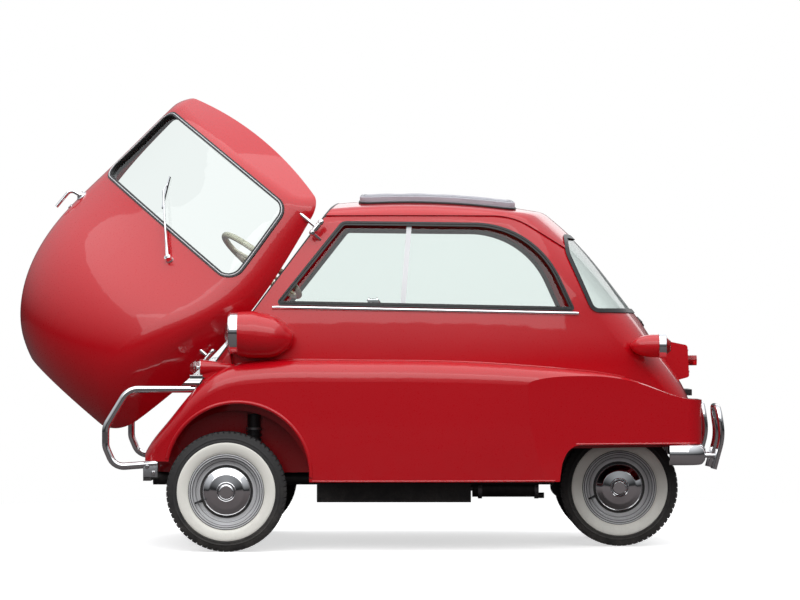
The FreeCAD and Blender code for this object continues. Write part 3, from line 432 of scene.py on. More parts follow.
def surfaceHit(tree, start, direction):
    way = Vector(direction)
    place, normal = tree.ray_cast(Vector(start), way.normalized())[:2]
    if place is None:
        place, normal = tree.find_nearest(Vector(start))[:2]
    return place, -normal if normal.dot(way) > 0 else normal


def sideHit(tree, x, z, side):
    return tree.ray_cast(Vector((x, side * 1.2, z)), Vector((0, -side, 0)))[0]


def evenly(low, high, steps):
    return [low + (high - low) * k / steps for k in range(steps + 1)]


def roundedOutline(corners, spacing):
    count = len(corners)
    ends = []
    for i, (a, b, radius) in enumerate(corners):
        here = Vector((a, b))
        back = (Vector(corners[i - 1][:2]) - here).normalized()
        on = (Vector(corners[(i + 1) % count][:2]) - here).normalized()
        half = back.angle(on) / 2
        reach = radius / tan(half)
        centre = here + (back + on).normalized() * (radius / sin(half))
        first = here + back * reach - centre
        turn = first.angle_signed(here + on * reach - centre)
        steps = max(3, int(abs(turn) * radius / spacing))
        ends.append([centre + Matrix.Rotation(-turn * k / steps, 2) @ first for k in range(steps + 1)])
    outline = []
    for i, arc in enumerate(ends):
        outline += arc
        run = ends[(i + 1) % count][0] - arc[-1]
        steps = int(run.length / spacing)
        outline += [arc[-1] + run * k / (steps + 1) for k in range(1, steps + 1)]
    clean = []
    for p in outline:
        if not clean or (p - clean[-1]).length > spacing * 0.15:
            clean.append(p)
    return clean


def rectangle(low, high, corner, spacing):
    return roundedOutline([(low[0], low[1], corner), (low[0], high[1], corner), (high[0], high[1], corner),
                           (high[0], low[1], corner)], spacing)


copyInputs = [("Geometry", "Geometry", None), ("Count", "Int", None)]
ringTree = buildGroup(
    "GeometryNodeTree", "ringOfCopies", copyInputs + [("Turn", "Float", None)], [("Geometry", "Geometry")],
    {"places": "GeometryNodePoints", "index": "GeometryNodeInputIndex",
     "step": ("Math", {"operation": "MULTIPLY"}),
     "turn": "CombineXYZ", "copies": "GeometryNodeInstanceOnPoints", "real": "GeometryNodeRealizeInstances"},
    "start.Count > places.Count, index.0 > step.0, start.Turn > step.1, step.0 > turn.Z, "
    "places.0 > copies.Points, start.Geometry > copies.Instance, turn.0 > copies.Rotation, "
    "copies.0 > real.0, real.0 > end.0")
rowTree = buildGroup(
    "GeometryNodeTree", "rowOfCopies", copyInputs + [("Step", "Vector", None)], [("Geometry", "Geometry")],
    {"line": "GeometryNodeMeshLine", "copies": "GeometryNodeInstanceOnPoints",
     "real": "GeometryNodeRealizeInstances"},
    "start.Count > line.Count, start.Step > line.Offset, line.0 > copies.Points, "
    "start.Geometry > copies.Instance, copies.0 > real.0, real.0 > end.0")


def repeated(builder, tree, **inputs):
    source = addObject("pitch", newMesh("pitch", builder.points, builder.faces))
    modifier = modified(source, "NODES", node_group=tree)
    sockets = {item.name: item.identifier for item in tree.interface.items_tree if item.in_out == "INPUT"}
    for key, value in inputs.items():
        modifier[sockets[key]] = value
    graph = bpy.context.evaluated_depsgraph_get()
    made = bpy.data.meshes.new_from_object(source.evaluated_get(graph), depsgraph=graph)
    bpy.data.objects.remove(source)
    return made


print("stage: mesh tools ready")


# Tyres with white walls and block tread: rows of place along the axle, radius and white band

tyreSpec = {"segments": 144, "pitches": 66, "base": 0.2202, "crown": 0.2268,
            "ribs": ((-0.0405, 0.015, 0.0), (-0.02, 0.012, 0.0035), (0.0, 0.013, -0.004),
                     (0.02, 0.012, 0.0035), (0.0405, 0.015, 0.0))}
tyreWall = [
    (0.04, 0.1413, 0), (0.0468, 0.1413, 0), (0.0482, 0.142, 0), (0.0486, 0.1432, 1), (0.052, 0.1455, 1),
    (0.0553, 0.151, 1), (0.058, 0.159, 1), (0.0598, 0.169, 1), (0.0604, 0.178, 1), (0.0599, 0.1838, 1),
    (0.0592, 0.185, 1), (0.058, 0.1856, 0), (0.0577, 0.1885, 0), (0.0585, 0.1898, 0), (0.0576, 0.1912, 0),
    (0.0566, 0.199, 0), (0.0572, 0.2003, 0), (0.056, 0.2016, 0), (0.0538, 0.209, 0), (0.0512, 0.216, 0),
    (0.0488, 0.2196, 0), (0.046, 0.2204, 0), (0.03, 0.2208, 0), (0.01, 0.2212, 0)]
shoulder = ((0.213, 0.05), (0.2255, 0.0478), (0.211, 0.0538), (0.2205, 0.0505))
blockFaces = [(0, 1, 3, 2), (4, 6, 7, 5), (0, 4, 5, 1), (2, 3, 7, 6), (0, 2, 6, 4), (1, 5, 7, 3)]
pitchTurn = 2 * pi / tyreSpec["pitches"]


def addTyre(builder, place):
    rows = tyreWall + [(-along, radius, 0) for along, radius, *rest in reversed(tyreWall)]
    count = tyreSpec["segments"]
    builder.lathe([row[:2] for row in rows], count, 0, place, True)
    white = [int(row[2] and following[2]) for row, following in zip(rows, rows[1:] + rows[:1])]
    builder.slots[-len(rows) * count:] = [slotIndex for slotIndex in white for k in range(count)]


def treadPitch():
    builder = Builder()
    for centre, width, zigzag in tyreSpec["ribs"]:
        for start, end, lean in ((0.05, 0.5, zigzag), (0.5, 0.92, -zigzag)):
            points = []
            for radius, taper in ((tyreSpec["base"] - 0.001, 0.0), (tyreSpec["crown"], 0.0007)):
                top = radius - 0.9 * centre * centre * (1 if taper else 0)
                ends = ((pitchTurn * start, -lean / 2, 1), (pitchTurn * end, lean / 2, -1))
                for angle, shift, sign in ends:
                    turn = angle + sign * taper / radius
                    for side in (-1, 1):
                        along = centre + shift + side * (width / 2 - taper)
                        points.append(polar(top, turn, along))
            builder.add(points, blockFaces)
    for side in (-1, 1):
        points = [polar(radius, pitchTurn * share, side * along)
                  for radius, along in shoulder for share in (0.08, 0.62)]
        builder.add(points, blockFaces)
    return builder


treadRing = repeated(treadPitch(), ringTree, Count=tyreSpec["pitches"], Turn=pitchTurn)
wheelBase, halfFront, halfRear = 1.5, 0.6, 0.26
hubsOf = {"front_wheel_left": [(0, -halfFront)], "front_wheel_right": [(0, halfFront)],
          "rear_wheels": [(wheelBase, -halfRear), (wheelBase, halfRear)]}
hubsOf = {wheelBody: [frameAt((x, y, tyreRadius), (0, y, 0), (1, 0, 0)) for x, y in hubs]
          for wheelBody, hubs in hubsOf.items()}
tyreNodes = {"front_wheel_left": "front_tyre_left", "front_wheel_right": "front_tyre_right",
             "rear_wheels": "rear_tyres"}
for wheelBody, hubs in hubsOf.items():
    tyre = Builder()
    for hubPlace in hubs:
        addTyre(tyre, hubPlace)
        tyre.mesh(treadRing, 0, hubPlace)
    obj = tyre.finish(tyreNodes[wheelBody] + "_rubber", "tyre_rubber white_rubber", wheelBody)
    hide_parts(tyreNodes[wheelBody])
print("stage: tyres")


# Rim steps, hubcap rings and valves, with black rings painted as the shade in the rim's grooves and in the gap
# round the hubcap

rimSpec = {"beads": ((0.0525, 0.139, 0.0021), (0.0505, 0.13, 0.0014), (0.033, 0.1205, 0.0022),
                     (0.0208, 0.1085, 0.0016)),
           "bands": ((0.0523, 0.1362, 0.1335, 0.0006, 0.0004), (0.0455, 0.1282, 0.1262, 0.0006, 0.0004),
                     (0.0256, 0.1166, 0.1146, 0.0006, 0.0004), (0.0206, 0.1, 0.066, 0.0004, 0.0))}
valveSpec = {"way": Matrix.Rotation(radians(200), 4, "Z"), "ends": ((0.1, 0.025), (0.123, 0.053)),
             "radii": (0.005, 0.0046, 0.0036, 0.003, 0.003, 0.0038, 0.0036)}
hubcapBeads = ((0.0312, 0.0885, 0.0017), (0.0545, 0.0352, 0.0018))

for wheelBody, hubs in hubsOf.items():
    rim, cap = Builder(), Builder()
    for hubPlace in hubs:
        for along, radius, thick in rimSpec["beads"]:
            rim.bead(along, radius, thick, 0, hubPlace)
        # painted shade: each band is a thin black ring standing in for the shade in a groove between the rim's
        # steps; the last one is a black disc painted as the shaded gap round the hubcap
        for along, outer, inner, rise, drop in rimSpec["bands"]:
            band = [(along, outer), (along + rise, (outer + inner) / 2), (along - drop, inner)]
            rim.lathe(band, 96, 1, hubPlace)
        start, end = [valveSpec["way"] @ Vector((radius, 0, along)) for radius, along in valveSpec["ends"]]
        rim.tube([hubPlace @ start.lerp(end, k / 6) for k in range(7)], valveSpec["radii"], 12, 2)
        for along, radius, thick in hubcapBeads:
            cap.bead(along, radius, thick, 0, hubPlace)
    # the black_paint slot on the rims carries only these rings of painted shade
    rim.finish(wheelBody + "_rim_rings", "wheel_paint black_paint black_rubber", wheelBody)
    cap.finish(wheelBody + "_hubcap_rings", "chrome", wheelBody)
print("stage: rims and hubcaps")


# Points on the door, as it stands open

def doorPoint(y, t, s=0.0):
    shut = Vector((hingePoint.x, y, hingePoint.z)) + hingeAxis * t + hingeForward * s
    return openDoor @ shut


doorSpin = openDoor.to_3x3()
doorOut = doorSpin @ hingeForward
doorUp = doorSpin @ hingeAxis
doorTree = treeOf("door_shell")
doorRubberTree = treeOf("windscreen_rubber")
bodyTree = treeOf("body_shell", "roof_panel")
rubberTree = treeOf("window_rubbers")
print("stage: surface trees")


# Beads in the window rubbers

screenBead = [(-0.4655, -0.3685, 0.054), (-0.4228, -0.0142, 0.054), (0.4228, -0.0142, 0.054),
              (0.4655, -0.3685, 0.054)]
sideBead = [(0.1918, 0.9378, 0.005), (0.4372, 1.242, 0.028), (1.1626, 1.234, 0.352), (1.309, 0.915, 0.005)]
beadRadius = 0.0021


def beadPath(outline, tree, direction, lift, placeOf):
    path = []
    for point in roundedOutline(outline, 0.012):
        place, normal = surfaceHit(tree, placeOf(point), direction)
        path.append(place + normal * lift)
    return path


front, sides = Builder(), Builder()
front.tube(beadPath(screenBead, doorRubberTree, -doorOut, 0.0004, lambda p: doorPoint(p.x, p.y, 0.75)),
           beadRadius, 8, 0, True)
front.finish("windscreen_bead", "wheel_paint", "door")
for side in (-1, 1):
    sides.tube(beadPath(sideBead, rubberTree, (0, -side, 0), 0.0003, lambda p: (p.x, side * 1.2, p.y)),
               beadRadius * 0.8, 8, 0, True)
sides.finish("side_window_beads", "black_plastic")
print("stage: window beads")


# Fabric roof: stretched cloth over bows, with a hem, stitching and press studs

roofCloth = {"low": (0.498, -0.364), "high": (1.097, 0.364), "corner": 0.06,
             "bows": (0.585, 0.715, 0.845, 0.975), "bowHalf": 0.012, "sag": 0.0016, "hem": 0.02,
             "rings": 34, "inset": 0.002, "turnIn": 0.05,
             "studs": (-0.27, -0.135, 0, 0.135, 0.27), "studInset": 0.011}
clothTree = treeOf("fabric_roof")
clothLow, clothHigh = roofCloth["low"], roofCloth["high"]
clothCentre = Vector(((clothLow[0] + clothHigh[0]) / 2, 0))
clothOutline = rectangle(clothLow, clothHigh, roofCloth["corner"], 0.012)


def eased(value, length):
    return min(1.0, max(0.0, value / length))


def clothDrop(x, y, edge):
    nearest = min(abs(x - bow) for bow in roofCloth["bows"])
    between = eased(nearest - roofCloth["bowHalf"], 0.045)
    smooth = between * between * (3 - 2 * between)
    inside = eased(edge - roofCloth["hem"], 0.06)
    wave = 0.0007 * sin(41 * x + 9 * y) * sin(23 * y + 5 * x) * inside
    return roofCloth["inset"] + roofCloth["sag"] * smooth * inside + wave


def clothTop(x, y):
    return surfaceHit(clothTree, (x, y, 1.5), (0, 0, -1))


def rimPoint(p, out, drop):
    inner = p.lerp(clothCentre, 0.006)
    spot = p + (p - clothCentre).normalized() * out
    return Vector((spot.x, spot.y, clothTop(inner.x, inner.y)[0].z - drop))


def buildRoofCloth():
    count, rings = len(clothOutline), roofCloth["rings"]
    points = []
    for ring in range(rings + 1):
        share = 1 - (1 - ring / rings) ** 1.5
        for p in clothOutline:
            flat = p.lerp(clothCentre, share * 0.999)
            edge = (p - flat).length
            inner = flat.lerp(clothCentre, 0.006)
            drop = clothDrop(flat.x, flat.y, edge)
            seam = abs(edge - roofCloth["hem"])
            if seam < 0.004:
                drop += 0.0012 * (1 - seam / 0.004)
            if edge < 0.006:
                drop += (0.006 - edge) ** 2 * 90
            points.append((flat.x, flat.y, clothTop(inner.x, inner.y)[0].z - drop))
    skirt = len(points)
    for out, drop in ((0.0006, 0.014), (-0.0015, 0.025)):
        points += [rimPoint(p, out, drop) for p in clothOutline]
    faces = loopFaces(rings + 1, count)
    for i in range(count):
        j = (i + 1) % count
        faces.append((j, i, skirt + i, skirt + j))
        faces.append((skirt + j, skirt + i, skirt + count + i, skirt + count + j))
    cloth = Builder()
    cloth.add(points, faces)
    return cloth.finish("fabric_roof_cloth", "grey_fabric")


def buildStitches():
    stitches = Builder()
    for i, p in enumerate(clothOutline):
        toward = (clothCentre - p).normalized()
        step = clothOutline[(i + 1) % len(clothOutline)] - p
        along = step.normalized().to_3d() * 0.0021
        for row in (roofCloth["hem"] - 0.0045, roofCloth["hem"] + 0.0045):
            for share in (0.25, 0.75):
                spot = p + toward * row + step * share
                height = clothTop(spot.x, spot.y)[0].z - clothDrop(spot.x, spot.y, row) + 0.0003
                middle = Vector((spot.x, spot.y, height))
                path = [middle - along, middle + Vector((0, 0, 0.0005)), middle + along]
                stitches.tube(path, [0.0003, 0.0005, 0.0003], 5)
    stitches.finish("fabric_roof_stitches", "thread_cloth", slotName="grey_fabric")


def buildStuds():
    studs = Builder()
    for x in (clothLow[0] + roofCloth["studInset"], clothHigh[0] - roofCloth["studInset"]):
        for y in roofCloth["studs"]:
            place, normal = clothTop(x, y)
            stud = [(0.0, 0.0062), (0.0012, 0.006), (0.0024, 0.0045), (0.003, 0.0022), (0.0031, 0.00002)]
            studs.lathe(stud, 16, 0, frameAt(place - normal * 0.0022, normal))
    studs.finish("fabric_roof_studs", "chrome")


roofPiece = buildRoofCloth()
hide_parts("fabric_roof")
seal = Builder()
seal.tube([rimPoint(p, 0.001, 0.0275) for p in clothOutline], 0.0045, 8, 0, True)
seal.finish("fabric_roof_seal", "black_rubber")
buildStitches()
buildStuds()
print("stage: fabric roof")


# Seat: cushion and back as padded pieces with sewn channels and piping

seatSpec = {"voxel": 0.011, "frames": 16, "pressure": 3.2, "cap": 0.01, "channels": 5, "channelDepth": 0.007,
            "channelWidth": 0.0075, "shrink": (0.011, 0.012, 0.01), "piping": 0.0042,
            "backLow": (0.0, -0.5, 0.0), "backHigh": (0.088, 0.5, 0.392), "backFoot": (0.99, 0, 0.502),
            "backLean": atan2(0.08, 0.4)}


def applyModifiers(obj):
    graph = bpy.context.evaluated_depsgraph_get()
    graph.update()
    mesh = bpy.data.meshes.new_from_object(obj.evaluated_get(graph), depsgraph=graph)
    obj.modifiers.clear()
    obj.data = mesh


def padMesh(name, low, high):
    half = [(high[i] - low[i]) / 2 - seatSpec["shrink"][i] for i in range(3)]
    return addObject(name, newMesh(name, *boxForm(half, min(half) * 0.55, 5, 0.55)))


def blowUp(obj):
    modified(obj, "REMESH", mode="VOXEL", voxel_size=seatSpec["voxel"])
    applyModifiers(obj)
    before = [v.co.copy() for v in obj.data.vertices]
    cloth = modified(obj, "CLOTH")
    cloth.settings.use_pressure = True
    cloth.settings.uniform_pressure_force = seatSpec["pressure"]
    cloth.settings.effector_weights.gravity = 0
    cloth.settings.quality = 4
    cloth.collision_settings.use_self_collision = False
    scene = bpy.context.scene
    for number in range(1, seatSpec["frames"] + 1):
        scene.frame_set(number)
        bpy.context.view_layer.update()
    applyModifiers(obj)
    scene.frame_set(1)
    for vertex, start in zip(obj.data.vertices, before):
        move = vertex.co - start
        if move.length > seatSpec["cap"]:
            vertex.co = start + move.normalized() * seatSpec["cap"]


def sewPad(obj, up, low, high, front):
    step = (high[1] - low[1]) / seatSpec["channels"]
    seams = [low[1] + step * k for k in range(1, seatSpec["channels"])]
    for vertex in obj.data.vertices:
        place = vertex.co
        away = min(abs(place.y - seam) for seam in seams)
        face = (place[up] - low[up]) / (high[up] - low[up])
        share = eased((face if front > 0 else 1 - face) - 0.45, 0.2)
        place[up] -= front * exp(-(away / seatSpec["channelWidth"]) ** 2) * share * seatSpec["channelDepth"]


def buildPad(name, low, high, up, front, tilt=None):
    obj = padMesh(name, low, high)
    blowUp(obj)
    obj.data.transform(Matrix.Translation((Vector(low) + Vector(high)) / 2))
    sewPad(obj, up, low, high, front)
    if tilt:
        obj.data.transform(tilt)
    obj.data.materials.clear()
    obj.data.materials.append(paints["seat_fabric"])
    obj.data.shade_smooth()
    modified(obj, "SUBSURF", levels=1, render_levels=1)
    applyModifiers(obj)
    obj.data.shade_smooth()
    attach(obj, "car_body")
    return obj


def piping(builder, low, high, axis, level, inset, tilt=None):
    a, b = [i for i in range(3) if i != axis]
    path = []
    for p in rectangle((low[a] + inset, low[b] + inset), (high[a] - inset, high[b] - inset), 0.05, 0.02):
        point = Vector((0, 0, 0))
        point[a], point[b], point[axis] = p.x, p.y, level
        path.append(tilt @ point if tilt else point)
    builder.tube(path, seatSpec["piping"], 8, 0, True)


low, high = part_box("seat_cushion")
cushion = buildPad("seat_cushion_pad", low, high, 2, 1)
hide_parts("seat_cushion")
backLow, backHigh = seatSpec["backLow"], seatSpec["backHigh"]
lean = shiftBy(*seatSpec["backFoot"]) @ Matrix.Rotation(seatSpec["backLean"], 4, "Y")
back = buildPad("seat_back_pad", backLow, backHigh, 0, -1, lean)
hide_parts("seat_back")
trim = Builder()
for level in (high[2] - 0.018, low[2] + 0.016):
    piping(trim, low, high, 2, level, 0.01)
for level in (0.016, 0.072):
    piping(trim, backLow, backHigh, 0, level, 0.013, lean)
trim.finish("seat_piping", "seat_trim", slotName="seat_fabric")
print("stage: seat")


# Lamps

headLamp = {"place": (0.01, 0.616, 0.823), "back": 0.0315, "bowl": 0.0628, "bulb": 0.012}
turnLamp = {"place": (-0.0985, 0.612, 0.694), "radius": 0.029, "grooves": 4,
            "feet": (((0.024, 0.017, 0.0035), 0, (-0.016, 0, -0.0325)),
                     ((0.028, 0.02, 0.003), 2, (-0.012, 0, -0.039)))}
tailLamp = {"place": (1.6403, 0.455, 0.774), "radius": 0.0355, "grooves": 3, "facets": 14}
plateLamp = {"place": (1.795, 0, 0.715), "radius": 0.0196, "rings": 5, "screws": (0.757, 0.672)}
facetForm = ([(0.01, -0.0032, 0.0425), (0.0285, -0.006, 0.0345), (0.0285, 0.006, 0.0345),
              (0.01, 0.0032, 0.0425), (0.019, 0.0, 0.0462)],
             [(0, 1, 4), (1, 2, 4), (2, 3, 4), (3, 0, 4), (0, 3, 2, 1)])
lampTree = treeOf("small_lamp_pods")


def bulbRows(start, length, radius, first, steps):
    turns = [pi * (first + (1 - first) * k / steps) for k in range(steps + 1)]
    return [(start + length * (1 - cos(a)), radius * sin(a)) for a in turns]


def buildHeadlamps():
    bright, glass = Builder(), Builder()
    bowl = [(-headLamp["back"] * share ** 0.6 + 0.0006, headLamp["bowl"] * (1 - share * 0.86))
            for share in evenly(0, 1, 8)]
    for place in pairAt(headLamp["place"], (-1, 0, 0)):
        bright.lathe(bowl, 64, 1, place)
        bright.bead(0.0008, 0.0705, 0.003, 0, place, 72)
        bright.bead(-0.029, 0.079, 0.0014, 0, place, 72)
        bright.lathe([(-0.03, 0.0105), (-0.02, 0.0105), (-0.018, 0.0085), (-0.01, 0.0085),
                      (-0.0092, 0.0075)], 24, 0, place)
        glass.lathe(bulbRows(-0.0092, headLamp["bulb"], headLamp["bulb"] * 0.75, 0.22, 8), 20, 0, place)
    for screw in pairAt(headLamp["place"], (-1, 0, 0), (0.004, 0, -0.0755)):
        bright.lathe([(0.0, 0.004), (0.0042, 0.004), (0.0052, 0.003), (0.0053, 0.00002)], 12, 0, screw)
    bright.finish("headlamp_bowls", "chrome reflector")
    glass.finish("headlamp_bulbs", "clear_lens")


def buildSmallLamps():
    bright, clear, red = Builder(), Builder(), Builder()
    for place in pairAt(turnLamp["place"], (-1, 0, 0)):
        bright.bead(0.0006, turnLamp["radius"] + 0.0006, 0.0016, 0, place, 48)
        bright.lathe([(0.0002, 0.024), (0.0008, 0.006), (0.015, 0.006), (0.0158, 0.0045)], 24, 1, place)
        clear.lathe(bulbRows(0.0158, 0.007, 0.0062, 0.25, 6), 16, 0, place)
        for k in range(turnLamp["grooves"]):
            clear.bead(0.006 + 0.0062 * k, turnLamp["radius"] - 0.0006 - 0.0002 * k, 0.001, 0, place, 40)
        for half, slotIndex, move in turnLamp["feet"]:
            bright.box(half, 0.0012, slotIndex, Matrix.Translation(place.translation + Vector(move)))
    facet = Builder()
    facet.add(*facetForm)
    facets = repeated(facet, ringTree, Count=tailLamp["facets"], Turn=2 * pi / tailLamp["facets"])
    for place in pairAt(tailLamp["place"], (1, 0, 0)):
        bright.bead(0.0252, 0.041, 0.0032, 0, place, 56)
        bright.bead(0.001, 0.0462, 0.0012, 0, place, 56)
        for k in range(tailLamp["grooves"]):
            red.bead(0.03 + 0.0045 * k, tailLamp["radius"] - 0.003 - 0.0042 * k, 0.0014, 0, place, 48)
        red.mesh(facets, 0, place)
    for k in range(plateLamp["rings"]):
        red.bead(0.004 * k, plateLamp["radius"], 0.001, 0, frameAt(plateLamp["place"], (1, 0, 0)), 40)
    for side in (-1, 1):
        for level in plateLamp["screws"]:
            hit, normal = surfaceHit(lampTree, (2.2, side * 0.04, level), (-1, 0, 0))
            bright.lathe([(-0.002, 0.006), (0.0022, 0.006), (0.0034, 0.0045), (0.0036, 0.00002)], 14, 0,
                         frameAt(hit, normal))
    bright.finish("small_lamp_trim", "chrome reflector black_rubber")
    clear.finish("turn_lamp_bulbs", "clear_lens")
    red.finish("tail_lens_facets", "red_lens")


buildHeadlamps()
buildSmallLamps()
print("stage: lamps")


# Rolled edges of the wings, seams and seals of the body

archSpec = {"centre": (0.045, 0.29), "radius": 0.268, "from": -8.0, "to": 190.0, "bead": 0.0075,
            "floor": 0.268, "frontFloor": 0.342}
edgeRows = ((0.325, 1.235, 40, 0.272, 0.0025, 0.004, 0.0045),
            (1.315, 1.775, 60, 0.408, 0.003, 0.0025, 0.0042))
weltSpec = {"from": 0.02, "to": 1.7, "steps": 80, "radius": 0.0034}
sealSpec = {"lean": radians(36.6), "start": (0.41, 0, 1.33), "drop": 0.62, "spokes": 150, "gap": 0.12,
            "radius": 0.0062}
wingTree = {-1: treeOf("wing_left"), 1: treeOf("wing_right")}


def flatBand(builder, path, across, width, thick, slotIndex=0):
    base = []
    for p, along, way in zip(path, directions(path), across):
        flat = (way - along * way.dot(along)).normalized()
        up = along.cross(flat).normalized()
        for a, b in ((-0.5, -0.4), (-0.4, 0.5), (0.4, 0.5), (0.5, -0.4)):
            base.append(p + flat * width * a + up * thick * b)
    last = len(base)
    faces = loopFaces(len(path), 4) + [(0, 1, 2, 3), tuple(range(last - 4, last))[::-1]]
    builder.add(base, faces, slotIndex)


def archPath(side):
    path = []
    radius = archSpec["radius"] + archSpec["bead"] * 0.9
    x0, z0 = archSpec["centre"]
    for turn in evenly(archSpec["from"], archSpec["to"], 60):
        a, b = polar(radius, radians(turn))
        x, z = x0 + a, z0 + b
        if z < archSpec["floor"] or (x < x0 and z < archSpec["frontFloor"]):
            continue
        hit = sideHit(wingTree[side], x, z, side)
        if hit and abs(hit.y) >= 0.5:
            path.append(hit - Vector((0, side * archSpec["bead"] * 0.25, 0)))
    return path


def buildWingEdges():
    for side, label in ((-1, "left"), (1, "right")):
        rolled = Builder()
        rolled.tube(archPath(side), archSpec["bead"], 12)
        for start, end, steps, z, inward, down, radius in edgeRows:
            hits = [sideHit(wingTree[side], x, z, side) for x in evenly(start, end, steps)]
            rolled.tube([hit - Vector((0, side * inward, down)) for hit in hits if hit], radius, 8)
        rolled.finish("wing_edges_" + label, "red_paint")


def weltPoint(x, side):
    hit = sideHit(bodyTree, x, 0.8, side)
    if not hit:
        return None
    down = wingTree[side].ray_cast(Vector((x, side * (abs(hit.y) + 0.012), 1.0)), Vector((0, 0, -1)))[0]
    if not down or down.z < 0.45:
        return None
    across = sideHit(bodyTree, x, down.z + 0.003, side)
    return Vector((x, across.y + side * 0.0015, down.z + 0.0015)) if across else None


def buildDoorSeal():
    lean = sealSpec["lean"]
    forward = Vector((-cos(lean), 0, sin(lean)))
    upward = Vector((sin(lean), 0, cos(lean)))
    middle = Vector(sealSpec["start"]) - upward * sealSpec["drop"]
    runs = [[]]
    for k in range(sealSpec["spokes"]):
        angle = 2 * pi * k / sealSpec["spokes"]
        spoke = upward * cos(angle) + Vector((0, 1, 0)) * sin(angle)
        hit = bodyTree.ray_cast(middle - forward * 0.014 + spoke * 1.6, -spoke)[0]
        if not hit or hit.z < 0.36:
            continue
        p = hit - spoke * 0.015 + forward * 0.0105
        if runs[-1] and (p - runs[-1][-1]).length > sealSpec["gap"]:
            runs.append([])
        runs[-1].append(p)
    if len(runs) > 1 and (runs[0][0] - runs[-1][-1]).length < sealSpec["gap"]:
        runs[0] = runs.pop() + runs[0]
    seal = Builder()
    for run in runs:
        if len(run) > 4:
            seal.tube(run, sealSpec["radius"])
    seal.finish("door_opening_seal", "black_rubber")


buildWingEdges()
welts = Builder()
for side in (-1, 1):
    spots = [weltPoint(x, side) for x in evenly(weltSpec["from"], weltSpec["to"], weltSpec["steps"])]
    welts.tube([spot for spot in spots if spot], weltSpec["radius"], 8)
welts.finish("wing_welts", "red_paint")
buildDoorSeal()
print("stage: wing edges and seals")


# Bolts, from a table of places, outward ways and sizes

boltTable = [
    ((-0.3, 0.6024, 0.32), (0, 1, 0), 0.0085), ((-0.276, 0.6024, 0.296), (0, 1, 0), 0.0085),
    ((-0.301, 0.42, 0.2788), (0, 0, 1), 0.007), ((-0.301, 0.36, 0.2788), (0, 0, 1), 0.007),
    ((1.815, 0.25, 0.378), (1, 0, 0), 0.008), ((1.815, 0.42, 0.378), (1, 0, 0), 0.008),
    ((1.813, 0.25, 0.34), (1, 0, 0), 0.008), ((1.813, 0.42, 0.34), (1, 0, 0), 0.008)]
bolts = Builder()
for (x, y, z), (nx, ny, nz), size in boltTable:
    for side in (-1, 1):
        bolts.bolt(size, 0, frameAt((x, side * y, z), (nx, side * ny, nz)), True)
bolts.finish("bumper_bolts", "chrome")
print("stage: bolts")


# Door trim: wiper, handle plate with its lock, mirror glass and the dial with its knobs

wiperSpec = {"foot": (-0.215, -0.455), "tip": (0.06, -0.27), "blade": 0.15, "steps": 12,
             "post": ((-0.001, 0.015), (0.003, 0.0148), (0.006, 0.012), (0.02, 0.0105), (0.026, 0.0098),
                      (0.0285, 0.007), (0.029, 0.00002))}
handleSpec = {"place": (0.455, -0.5), "rows": ((-0.002, 0.0235), (0.0016, 0.0235), (0.0036, 0.0205),
                                               (0.0052, 0.0165), (0.011, 0.015), (0.0116, 0.014))}
lockSpec = {"place": (0.462, -0.56), "slot": (0.0036, 0.0007, 0.0006),
            "rows": ((-0.001, 0.011), (0.002, 0.011), (0.0036, 0.0085), (0.004, 0.005), (0.0032, 0.0046),
                     (0.003, 0.00002))}
mirrorSpec = {"half": (0.0245, 0.072, 0.0012), "bevel": 0.0008, "lift": 0.0006, "faces": (0.8, 0, -0.6)}
dashSpec = {"y": -0.262, "z": 0.969, "radius": 0.048, "behind": 0.062, "lean": 0.3, "ticks": 22,
            "knobs": ((-0.175, 0.016), (-0.13, 0.016), (-0.36, 0.02))}


def spotOnDoor(y, t):
    return surfaceHit(doorTree, doorPoint(y, t, 0.75), -doorOut)


def insideDoor(y, z):
    return surfaceHit(doorTree, openDoor @ Vector((0.3, y, z)), doorSpin @ Vector((-1, 0, 0)))[0]


def buildWiper():
    metal, rubber = Builder(), Builder()
    foot, footNormal = spotOnDoor(*wiperSpec["foot"])
    metal.lathe(wiperSpec["post"], 28, 0, frameAt(foot, footNormal))
    metal.bolt(0.0062, 0, frameAt(foot + footNormal * 0.0275, footNormal))
    tree = treeOf("windscreen")
    glass, normal = tree.ray_cast(doorPoint(*wiperSpec["tip"], 0.75), -doorOut)[:2]
    if normal.dot(doorOut) < 0:
        normal = -normal
    start, end = foot + footNormal * 0.024, glass + normal * 0.026
    shares = evenly(0, 1, wiperSpec["steps"])
    arm = [start.lerp(end, share) + doorOut * 0.006 * sin(pi * share) for share in shares]
    metal.tube(arm, [0.0042 - 0.0018 * share for share in shares])
    along = (end - start).normalized()
    bladeWay = (along * 0.92 + doorUp * 0.38).normalized()
    holder, lip = [], []
    for share in evenly(-1, 1, wiperSpec["steps"]):
        above = glass + bladeWay * wiperSpec["blade"] / 2 * share
        spot = tree.ray_cast(above + doorOut * 0.4, -doorOut)[0] or above
        holder.append(spot + normal * (0.0115 - 0.003 * share * share))
        lip.append(spot + normal * 0.005)
    flatBand(metal, holder, [along.cross(normal)] * len(holder), 0.0062, 0.0022)
    flatBand(rubber, lip, [normal] * len(lip), 0.0095, 0.0022)
    for k in (3, 9):
        metal.tube([end - doorOut * 0.001, holder[k]], 0.0018, 8)
    metal.finish("wiper_metal", "chrome", "door")
    rubber.finish("wiper_blade", "black_rubber", "door")


def buildHandlePlate():
    plate = Builder()
    plate.lathe(handleSpec["rows"], 36, 0, frameAt(*spotOnDoor(*handleSpec["place"])))
    place, normal = spotOnDoor(*lockSpec["place"])
    plate.lathe(lockSpec["rows"], 28, 0, frameAt(place, normal))
    plate.box(lockSpec["slot"], 0.0002, 1, frameAt(place + normal * 0.0034, normal))
    plate.finish("door_handle_plate", "chrome black_plastic", "door")


